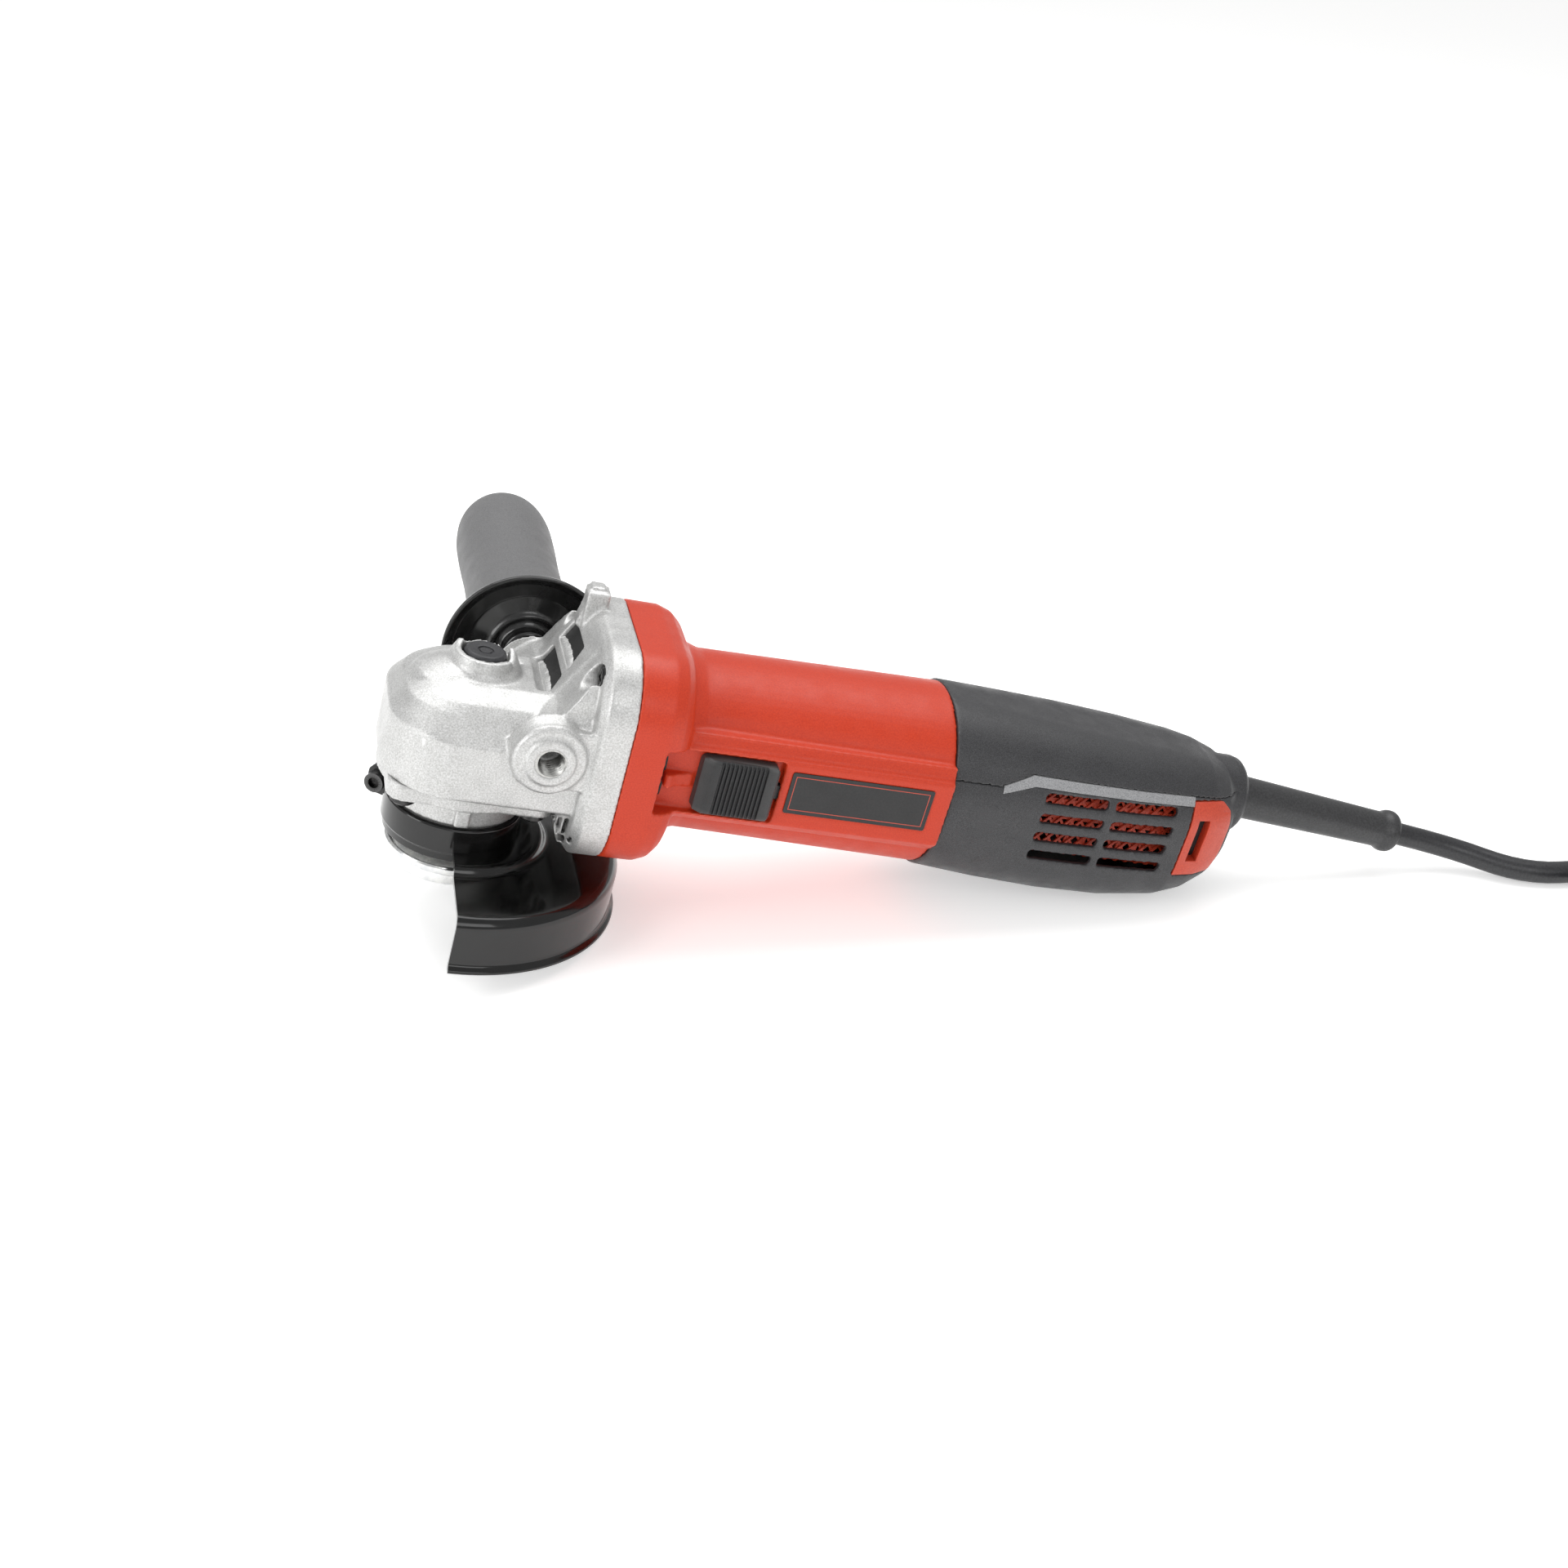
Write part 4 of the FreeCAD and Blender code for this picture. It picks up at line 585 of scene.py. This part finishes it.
# ---- Name plate ----
# A thin black plate in its bed, left blank inside a fine printed border.
PLATE = finish("plate_black", (0.005, 0.005, 0.0055), (0.011, 0.011, 0.0115), 0.7, (0.34, 0.46), (0.3, 0.008))
plate = bmesh.new()
outline = eased([(106.6, 29.2), (159.0, 29.2), (159.0, 45.2), (106.6, 45.2)], 0.8)
loft(plate, [[(x, y, z) for x, z in outline] for y in (-34.05, -34.62)])
part("nameplate_plate", plate, PLATE, "root", ["nameplate"], 30)
border = bmesh.new()
for x, z in (((108.0, 157.6), (30.6, 30.9)), ((108.0, 157.6), (43.5, 43.8)), ((108.0, 108.3), (30.9, 43.5)),
             ((157.3, 157.6), (30.9, 43.5))):
    block(border, x, (-34.66, -34.5), z)
BORDER = finish("border_print", (0.42, 0.05, 0.03), (0.5, 0.07, 0.04), 1.0, (0.4, 0.5))
part("nameplate_border", border, BORDER, "root")

# ---- Slide switch ----
# A ribbed slider in the recess pushes a rod back to the switch in the rear handle.
SWITCH = finish("switch_nylon", (0.004, 0.004, 0.005), (0.012, 0.012, 0.013), 0.45, (0.42, 0.56),
                (0.35, 0.03), edge_wear_and_highlight=(0.06, 0.06, 0.06))
slider = bmesh.new()
SLIDER_FROM, SLIDER_TO, SLIDER_FACE = 74, 101.5, -37.0
GRIP_FROM, GRIP_TO, RIBS = 80.5, 97.5, 11
top_line = [(74.0, -31.3), (74.6, -34.2), (77.6, -36.6), (79.6, -37.0)]
for k in range(RIBS):
    x = GRIP_FROM + (GRIP_TO - GRIP_FROM) * k / RIBS
    step = (GRIP_TO - GRIP_FROM) / RIBS
    top_line += [(x, -37.0), (x + 0.25 * step, -36.25), (x + 0.55 * step, -36.25), (x + 0.8 * step, -37.0)]
top_line += [(100.6, -37.0), (101.5, -36.0), (101.5, -31.3)]
rings = []
rounding = ((25.5, 1.7), (25.9, 0.75), (26.8, 0.1), (27.6, 0.0), (44.4, 0.0), (45.2, 0.1), (46.1, 0.75),
            (46.5, 1.7))
for z, shrink in rounding:
    ring = []
    for x, y in top_line:
        x = min(max(x, SLIDER_FROM + shrink), SLIDER_TO - shrink)
        ring.append((x, max(y, SLIDER_FACE + 0.6 * shrink), z))
    rings.append(ring)
loft(slider, rings)
part("slider_cap", slider, SWITCH, "switch", ["switch_slider"], 35)
dress(SWITCH, "switch_rod", "switch_block")

# ---- Rear handle ----
# Two charcoal half shells, screwed together along a stepped parting line. The lower one has two rows of
# air slots on each side over the dust filters, and a pale strip runs along the parting line.
# Its lighter edge colour is partly rubbed wear, partly a painted highlight that makes the shell edges
# sparkle.
CHARCOAL = finish("charcoal_nylon", (0.009, 0.009, 0.010), (0.052, 0.052, 0.056), 0.3, (0.34, 0.52),
                  (0.34, 0.06), edge_wear_and_highlight=(0.12, 0.12, 0.12))
GREY = finish("strip_grey", (0.17, 0.172, 0.178), (0.36, 0.362, 0.37), 0.35, (0.35, 0.5), (0.4, 0.02))


LEAD_Z = 43.5


def cut_lower(shape):
    """Fine scored lines round the panel in front of the slots, and one line under each row of slots."""
    for side in (-1, 1):
        for x, z in (((166.8, 190.5), (45.9, 46.4)), ((190.2, 190.7), (22.0, 46.4))):
            y = sorted((side * 31.9, side * 36))
            block(shape, x, y, z)
        for z in (45.6, 38.0, 30.4, 22.8):
            y = sorted((side * 31.6, side * 36))
            block(shape, (193.5, 200.0), y, (z + 0.9, z + 1.5))


def grow_upper(shape):
    """The round neck that grips the lead."""
    neck = [(9.8, 283.0), (14.2, 283.0), (14.6, 285.0), (14.6, 289.0), (12.6, 291.2), (9.8, 291.2)]
    turned(shape, eased(neck, 0.8), (0, 0, LEAD_Z), "x", count=96)


upper = moulded("handle_upper_shell", "handle_upper", grow_upper, nothing, 0.6, 4, 0.5)
dressed(upper, CHARCOAL, "root", ["handle_upper"], 0)
lower = moulded("handle_lower_shell", "handle_lower", nothing, cut_lower, 0.6, 3, 0.5)
dressed(lower, CHARCOAL, "root", ["handle_lower"], 0)
dress(GREY, "handle_stripes")

# ---- Dust filters ----
# A red slide-in plate on each side with a lattice over its mesh and a clip that closes the end of the slots.
FILTER_RED = finish("filter_red", (0.46, 0.04, 0.016), (0.58, 0.065, 0.026), 0.6, (0.38, 0.5), (0.4, 0.02))
LATTICE_LOW, LATTICE_HIGH = 21.4, 50.0
LATTICE_FROM, LATTICE_TO = 198.0, 262.0
LATTICE_LEAN = 22.0
STRAND_STEP = 4.2
STRAND_POINTS = 20


def lattice(shape, side):
    """Two layers of flat strands, leaning opposite ways, over the plate."""
    for way in (-1, 1):
        for k in range(21):
            x = 186 + STRAND_STEP * k
            foot, head = (x, x + LATTICE_LEAN) if way > 0 else (x + LATTICE_LEAN, x)
            kept = []
            for i in range(STRAND_POINTS + 1):
                px = foot + (head - foot) * i / STRAND_POINTS
                if LATTICE_FROM <= px <= LATTICE_TO:
                    kept.append((px, LATTICE_LOW + (LATTICE_HIGH - LATTICE_LOW) * i / STRAND_POINTS))
            if len(kept) > 3:
                under = side * (22.5 + 0.55 * (way > 0))
                over = under + side * 0.75
                section = ((-0.6, under), (0.6, under), (0.6, over), (-0.6, over))
                loft(shape, [[(px + dx, y, pz) for dx, y in section] for px, pz in (kept[0], kept[-1])])


for side, node, body in ((-1, "dust_filter_left", "filter_left"), (1, "dust_filter_right", "filter_right")):
    mesh_piece = bmesh.new()
    lattice(mesh_piece, side)
    part(node + "_lattice", mesh_piece, FILTER_RED, body, (), 30)
    bevelled(node + "_plate", node, FILTER_RED, body, 0.3)
    catch = bmesh.new()
    outline = eased([(265.9, 27.6), (270.5, 27.6), (270.5, 44.4), (265.9, 44.4)], 0.5)
    loft(catch, [[(x, side * y, z) for x, z in outline] for y in (21.5, 23.0)])
    part(node + "_catch", catch, BLACK_NYLON, body, (), 30)

# ---- Side handle ----
# A hard rubber-faced grip and its hand disc, moulded on a steel stud.
GRIP = finish("grip_rubber", (0.10, 0.10, 0.102), (0.17, 0.17, 0.172), 0.35, (0.5, 0.66), (0.35, 0.05))
DISC = finish("disc_gloss", (0.006, 0.006, 0.006), (0.014, 0.014, 0.014), 2.5, (0.14, 0.3), (3.0, 0.02),
              coat=0.5)
HANDLE_FOOT = (22.3, 0, 38.5)
disc = bmesh.new()
disc_line = [(5.2, 39.9), (8.6, 39.9), (9.4, 40.6), (9.6, 44.0), (11.5, 45.2), (13.4, 44.2), (15.0, 45.6),
             (21.0, 46.4), (27.0, 44.2), (30.2, 40.3), (31.3, 40.5), (31.3, 42.2), (27.8, 46.6), (22.0, 49.2),
             (19.4, 50.4), (5.2, 50.4)]
turned(disc, eased(disc_line, 0.8), HANDLE_FOOT, "y")
part("hand_disc", disc, DISC, "side_handle", ["side_handle_disc"], 50)
grip = bmesh.new()
grip_line = [(5.2, 50.6), (18.6, 50.6), (19.9, 52.5), (19.8, 62.0), (18.7, 82.0), (18.4, 104.0),
             (19.0, 124.0), (19.0, 140.0), (17.6, 151.0), (14.2, 159.0), (8.0, 163.2), (0.01, 164.0),
             (0.01, 82.2), (5.2, 82.2)]
turned(grip, eased(grip_line, 7, 8), HANDLE_FOOT, "y")
part("hand_grip", grip, GRIP, "side_handle", ["side_handle_grip"], 60)
dress(ZINC, "side_handle_stud")

# ---- Works inside ----
# Spindle, gears, bearings and motor keep their own shapes: ground steel, bronze, laminations, copper and
# carbon, pressed or turned to size and held by their seats in the castings and mouldings.
STEEL = finish("ground_steel", (0.4, 0.4, 0.41), (0.62, 0.62, 0.62), 2, (0.18, 0.34), (0.4, 0.008), 1.0,
               edge_wear_and_highlight=(0.8, 0.8, 0.8))
dress(STEEL, "spindle", "lock_pin", "lock_spring", "gear_circlip", "armature_shaft", "crown_gear",
      "bevel_pinion", "brush_springs", "cord_clamp")
for bearing in ("spindle_bearing", "front_bearing", "rear_bearing"):
    dress(STEEL, bearing + "_outer", bearing + "_inner", bearing + "_balls")
BRONZE = finish("bronze", (0.42, 0.24, 0.1), (0.62, 0.38, 0.18), 0.8, (0.3, 0.5), (0.3, 0.02), 1.0)
dress(BRONZE, "spindle_bush", "brush_holders")
COPPER = finish("copper", (0.5, 0.18, 0.07), (0.75, 0.3, 0.13), 0.6, (0.25, 0.45), (0.5, 0.06), 1.0)
dress(COPPER, "field_coils", "armature_windings", "commutator")
LAMINATION = finish("lamination", (0.15, 0.15, 0.16), (0.26, 0.26, 0.27), 0.5, (0.35, 0.55), (0.5, 0.03), 0.9)
dress(LAMINATION, "stator_core", "armature_core")
CARBON = finish("carbon", (0.012, 0.012, 0.012), (0.03, 0.03, 0.03), 0.5, (0.45, 0.6), (0.4, 0.03))
dress(CARBON, "carbon_brushes")
dress(BLACK_NYLON, "cooling_fan", "fan_baffle")
RUBBER = finish("seal_rubber", (0.012, 0.012, 0.012), (0.026, 0.026, 0.027), 0.8, (0.4, 0.55), (0.4, 0.02))
dress(RUBBER, "dust_seal", "bearing_boot")

# ---- Sleeve on the lead ----
# Soft rubber, tapered, with a thick ring at its mouth. It droops a little as it leaves the handle.
SLEEVE = finish("sleeve_rubber", (0.02, 0.02, 0.021), (0.042, 0.042, 0.044), 0.7, (0.36, 0.48), (0.4, 0.015))
SLEEVE_FOOT = Vector((291.0, 0, LEAD_Z))
DROOP = math.radians(5)
SLEEVE_MM = 73.0
sleeve = bmesh.new()
line = [(4.4, -21.0), (6.9, -21.0), (6.9, -11.0), (8.4, -11.0), (8.4, 1.0), (8.1, 4.0), (7.6, 30.0),
        (7.0, 62.0), (7.0, 66.4), (8.2, 69.0), (8.2, 71.4), (7.3, SLEEVE_MM), (4.4, SLEEVE_MM)]
line = eased(line, 1.0, 4)
rings = []
for i in range(64):
    t = 2 * math.pi * i / 64
    ring = []
    for r, along in line:
        along_x = along * math.cos(DROOP)
        sag = -along * math.sin(DROOP)
        ring.append((SLEEVE_FOOT.x + along_x + r * math.sin(t) * math.sin(DROOP), r * math.cos(t),
                     SLEEVE_FOOT.z + sag + r * math.sin(t) * math.cos(DROOP)))
    rings.append(ring)
loft(sleeve, rings, loop=True)
part("lead_sleeve", sleeve, SLEEVE, "root", ["cord_sleeve"], 40)

# ---- Power cord ----
# A two-core rubber lead with a moulded plug. It leaves the sleeve, sinks to the floor and is wound into
# a neat coil of five turns and a part turn, with the plug lying on top.
CORD_D = 0.0088
LAY = 0.00445
ROUTE = [
    (0.19092, -0.0500, 0.01687),
    (0.22084, -0.0500, 0.00878),
    (0.24850, -0.0672, LAY),
    (0.28144, -0.06612, LAY),
    (0.31332, -0.06333, LAY),
]
COIL_X = 0.3185
COIL_Y = -0.1225
COIL_R = 0.0506
COIL_IN = 95.0
PER_TURN = 18
NEST = CORD_D * math.sqrt(0.75)
PLUG_Z = LAY + NEST + CORD_D / 2 + 0.011
# (degrees wound so far, radius, height) where each turn is settled
LAID = [
    (0, COIL_R + CORD_D, LAY), (330, COIL_R + CORD_D, LAY), (390, COIL_R, LAY), (690, COIL_R, LAY),
    (750, COIL_R - CORD_D, LAY), (1050, COIL_R - CORD_D, LAY), (1110, COIL_R - CORD_D / 2, LAY + NEST),
    (1400, COIL_R - CORD_D / 2, LAY + NEST), (1460, COIL_R + CORD_D / 2, LAY + NEST),
    (1770, COIL_R + CORD_D / 2, LAY + NEST), (1830, COIL_R, LAY + 2 * NEST), (1860, COIL_R, LAY + 2 * NEST),
    (1895, COIL_R, PLUG_Z),
]


def wound(angle):
    """Radius and height of the coil after this many degrees."""
    for (a0, r0, z0), (a1, r1, z1) in zip(LAID, LAID[1:]):
        if angle <= a1:
            t = (angle - a0) / (a1 - a0)
            return r0 + (r1 - r0) * t, z0 + (z1 - z0) * t
    return LAID[-1][1:]


TUCK = 2 / (1 + math.cos(math.pi / PER_TURN))
coil_points = []
last_angle = LAID[-1][0]
steps = round(last_angle / 360 * PER_TURN)
for i in range(1, steps + 1):
    angle = last_angle * i / steps
    r, z = wound(angle)
    turn = math.radians(COIL_IN - angle)
    coil_points.append((COIL_X + r * TUCK * math.cos(turn), COIL_Y + r * TUCK * math.sin(turn), z))
coil_points[-1] = (COIL_X + COIL_R, COIL_Y, PLUG_Z)
coil_points.append((COIL_X + COIL_R, COIL_Y - 0.006, PLUG_Z))
curve = bpy.data.curves.new("mains_lead", "CURVE")
curve.dimensions = "3D"
spline = curve.splines.new("NURBS")
lead_points = ROUTE + coil_points
spline.points.add(len(lead_points) - 1)
for point, place in zip(spline.points, lead_points):
    point.co = (*place, 1)
spline.order_u = 3
spline.use_endpoint_u = True
spline.resolution_u = 6
curve.bevel_depth = CORD_D / 2
curve.bevel_resolution = 6
curve.use_fill_caps = True
lead = bpy.data.objects.new("mains_lead", curve)
scene.collection.objects.link(lead)
CORD_RUBBER = finish("cord_rubber", (0.014, 0.014, 0.016), (0.03, 0.03, 0.033), 0.8, (0.3, 0.42),
                     (0.5, 0.012))
curve.materials.append(CORD_RUBBER)
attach(lead, "root")
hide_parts("power_cord", "cord_coil")
dress(CORD_RUBBER, "plug_body")
dress(ZINC, "plug_pins")
